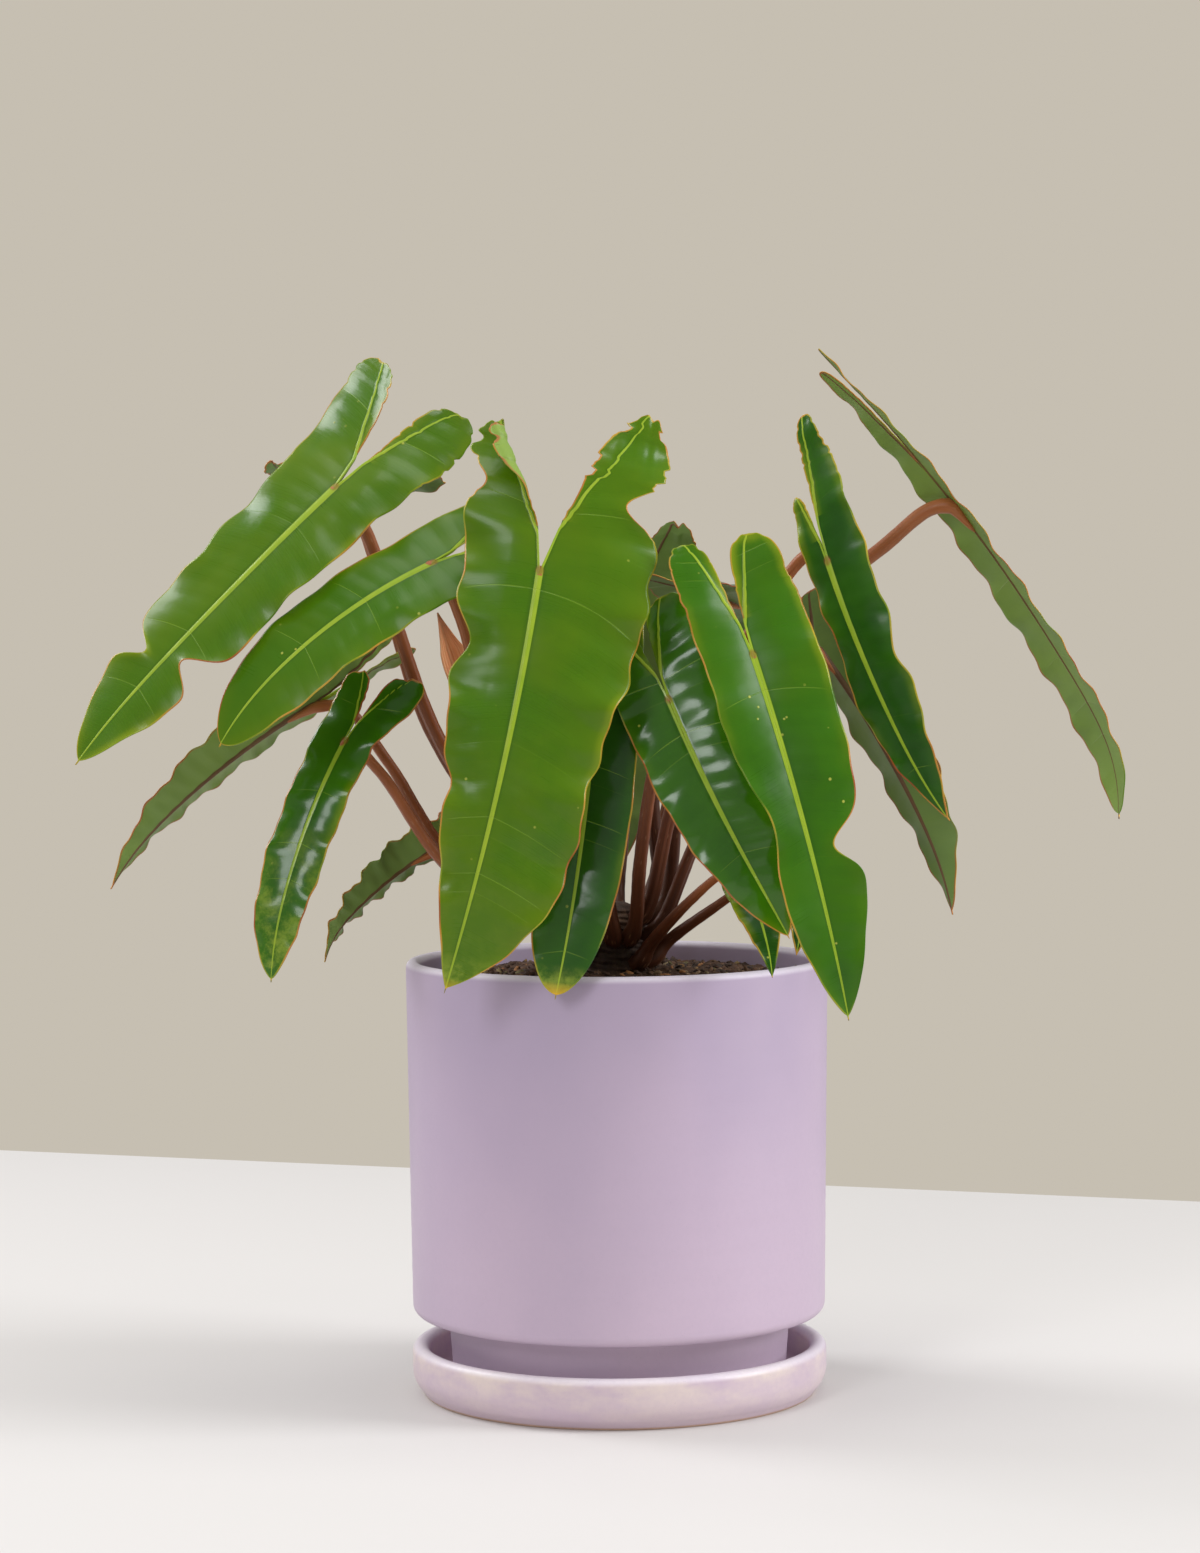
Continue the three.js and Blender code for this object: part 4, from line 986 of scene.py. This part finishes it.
def stalk(name, leaf, finish):
    """A grooved round bar carried along the stalk's line: swollen where it clasps the crown, slender in the
    middle, a little thicker again at the joint, then running out as the midrib under the blade."""
    joint, length, along, face, across = leaf_frame(leaf)
    bearing, height = math.radians(leaf["node"][0]), leaf["node"][1]
    east, north = math.cos(bearing), math.sin(bearing)
    away = lambda distance, rise: np.array([distance * east, distance * north, height + rise])
    end = joint - face * (0.8 + FIT_GAP + leaf["thick"] * 0.5)
    slope = unit(along * length + face * leaf["arch"] * 4 + across * leaf["sway"] * 4)
    under_blade = [end + slope * 6 + face * 0.9, end + slope * 16 + face * 1.6]
    # out of the crown, level with its node, then up
    knots = np.array([away(CROWN_RADIUS - 2.5, -2.5), away(CROWN_RADIUS + 3, 0), away(CROWN_RADIUS + 9, 7),
                      *leaf["stalk"], end, *under_blade], float)
    line, run = smooth_line(knots, 96)
    u = run / run[-1]
    joint_at = 1 - STALK_RUN_OUT / run[-1]
    thin = STALK_BASE_RADIUS + (leaf["thick"] - STALK_BASE_RADIUS) * within(u * 1.3)
    thin = thin * (1 + 0.35 * bell(run - 4, 9))
    thin = thin * (1 + 0.12 * bell((u - joint_at) * run[-1], 7))
    past = within((u - joint_at) / (1 - joint_at))
    thin = thin * (1 - 0.72 * past ** 0.8)
    thin[-1] *= 0.4
    knobs = 1 + 0.015 * np.sin(run * 0.35 + bearing) + 0.012 * np.sin(run * 0.9)
    a = circle(26)
    groove = 1 - 0.2 * bell(a - np.pi / 2, 0.35)
    ring = np.stack([np.cos(a) * groove, np.sin(a) * groove], -1)
    there_and_back = 1 - np.abs(1 - a / np.pi)
    return bar(f"{name}_petiole", line, run, thin * knobs, ring, there_and_back, finish,
               f"{name}_stalk")


def sheath(finish):
    """A keeled papery strip: a thin folded section carried up beside the stalks, widest low down and
    running to a point, its edges curled in."""
    line, run = smooth_line(np.array(SHEATH_LINE, float), 110)
    u = run / run[-1]
    wide = SHEATH_WIDTH * (0.405 + 0.50625 * np.sin(np.pi * (u * 0.85 + 0.1)))
    wide = wide * np.clip((1.01 - u) * 9, 0.04, 1)
    wide = wide * (1 + 0.05 * np.sin(run / 6) + 0.03 * np.sin(run / 2.7))
    a = circle(48)
    x, y = np.cos(a), np.sin(a) * 0.07
    ring = np.stack([x, y + 0.32 * np.cos(x * np.pi) + 0.04 * np.cos(x * 17)], -1)
    return bar("papery_sheath", line, run, wide, ring, x * 0.5 + 0.5, finish, "sheath",
               (0.45, -1.0, 0.2))


# ---- making everything --------------------------------------------------------------------------------
pot(glaze("pot_glaze", (0.57, 0.445, 0.56), (0.42, 0.335, 0.47), 0.0, 0.42, TOTAL_HEIGHT * MM))
saucer(glaze("saucer_glaze", (0.62, 0.49, 0.57), (0.56, 0.43, 0.54), 0.75, 0.36, SAUCER_HEIGHT * MM))
soil(damp_peat())
chips(bark_chips())
crown(crown_bark())
sheath(dry_sheath())
UPPER, UNDER, SKIN = upper_face(), under_face(), stalk_skin()
for number, (name, own) in enumerate(LEAVES.items()):
    leaf = {**USUAL, **own}
    leaf.update({key: (leaf[key],) * 2 for key in PAIRED if not isinstance(leaf[key], tuple)})
    leaf.setdefault("rib", float(np.clip(max(leaf["half"]) / 30, 0.45, 1.0)))
    blade(name, leaf, number + 1, UPPER, UNDER)
    stalk(name, leaf, SKIN)

# ---- floor, light and camera --------------------------------------------------------------------------
scene = bpy.context.scene
floor_mesh = bpy.data.meshes.new("pale_table")
floor_mesh.from_pydata([(-4, -4, 0), (4, -4, 0), (4, -0.69, 0), (-4, 2.04, 0)], [], [(0, 1, 2, 3)])
floor = bpy.data.objects.new("pale_table", floor_mesh)
scene.collection.objects.link(floor)
table_top = Finish("pale_table", Base_Color=(0.665, 0.645, 0.63, 1), Roughness=0.6)
floor_mesh.materials.append(table_top.material)
floor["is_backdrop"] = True

world = bpy.data.worlds.new("soft_room")
scene.world = world
world.use_nodes = True
nodes, links = world.node_tree.nodes, world.node_tree.links
room, wall, pick = nodes["Background"], nodes.new("ShaderNodeBackground"), nodes.new("ShaderNodeMixShader")
room.inputs["Color"].default_value = (0.80, 0.78, 0.76, 1)
room.inputs["Strength"].default_value = 0.55
wall.inputs["Color"].default_value = (0.565, 0.52, 0.443, 1)
links.new(nodes.new("ShaderNodeLightPath").outputs["Is Camera Ray"], pick.inputs[0])
links.new(room.outputs[0], pick.inputs[1])
links.new(wall.outputs[0], pick.inputs[2])
links.new(pick.outputs[0], nodes["World Output"].inputs["Surface"])
scene.view_settings.view_transform = "Standard"


def window(name, place, aim, size, power, colour):
    """A soft rectangular light at a place, turned to face the point it aims at."""
    lamp = bpy.data.lights.new(name, "AREA")
    lamp.shape = "RECTANGLE"
    lamp.size, lamp.size_y = size
    lamp.energy = power
    lamp.color = colour
    made = bpy.data.objects.new(name, lamp)
    turn = (Vector(aim) - Vector(place)).to_track_quat("-Z", "Y")
    made.matrix_world = Matrix.Translation(place) @ turn.to_matrix().to_4x4()
    scene.collection.objects.link(made)


window("front_window", (-0.8, -1.6, 1.1), (0, 0, 0.25), (0.5, 0.7), 10, (0.96, 0.98, 1.0))
window("left_window", (-1.6, 0.7, 1.5), (0, 0, 0.2), (0.8, 1.2), 23, (0.97, 0.98, 1.0))
window("right_window", (1.9, -0.4, 1.2), (0, 0, 0.3), (0.8, 1.2), 34, (0.96, 0.98, 1.0))
window("ceiling_glow", (-0.1, -0.3, 2.3), (0, 0, 0.2), (1.2, 1.2), 16, (1.0, 0.98, 0.95))

camera = bpy.data.objects.new("camera", bpy.data.cameras.new("camera"))
scene.collection.objects.link(camera)
camera.data.sensor_width = 36
camera.data.lens = 84.68
camera.data.clip_end = 20
tilt, roll = Matrix.Rotation(math.radians(87.7), 4, "X"), Matrix.Rotation(-0.0081, 4, "Z")
eye = Matrix.Translation((-0.0071, -1.730, 0.3616))
camera.matrix_world = eye @ tilt @ roll
scene.camera = camera

boxes = {"cad": CAD_BOX, "visual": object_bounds()}
{k: [list(map(float, corner)) for corner in box] for k, box in boxes.items()}
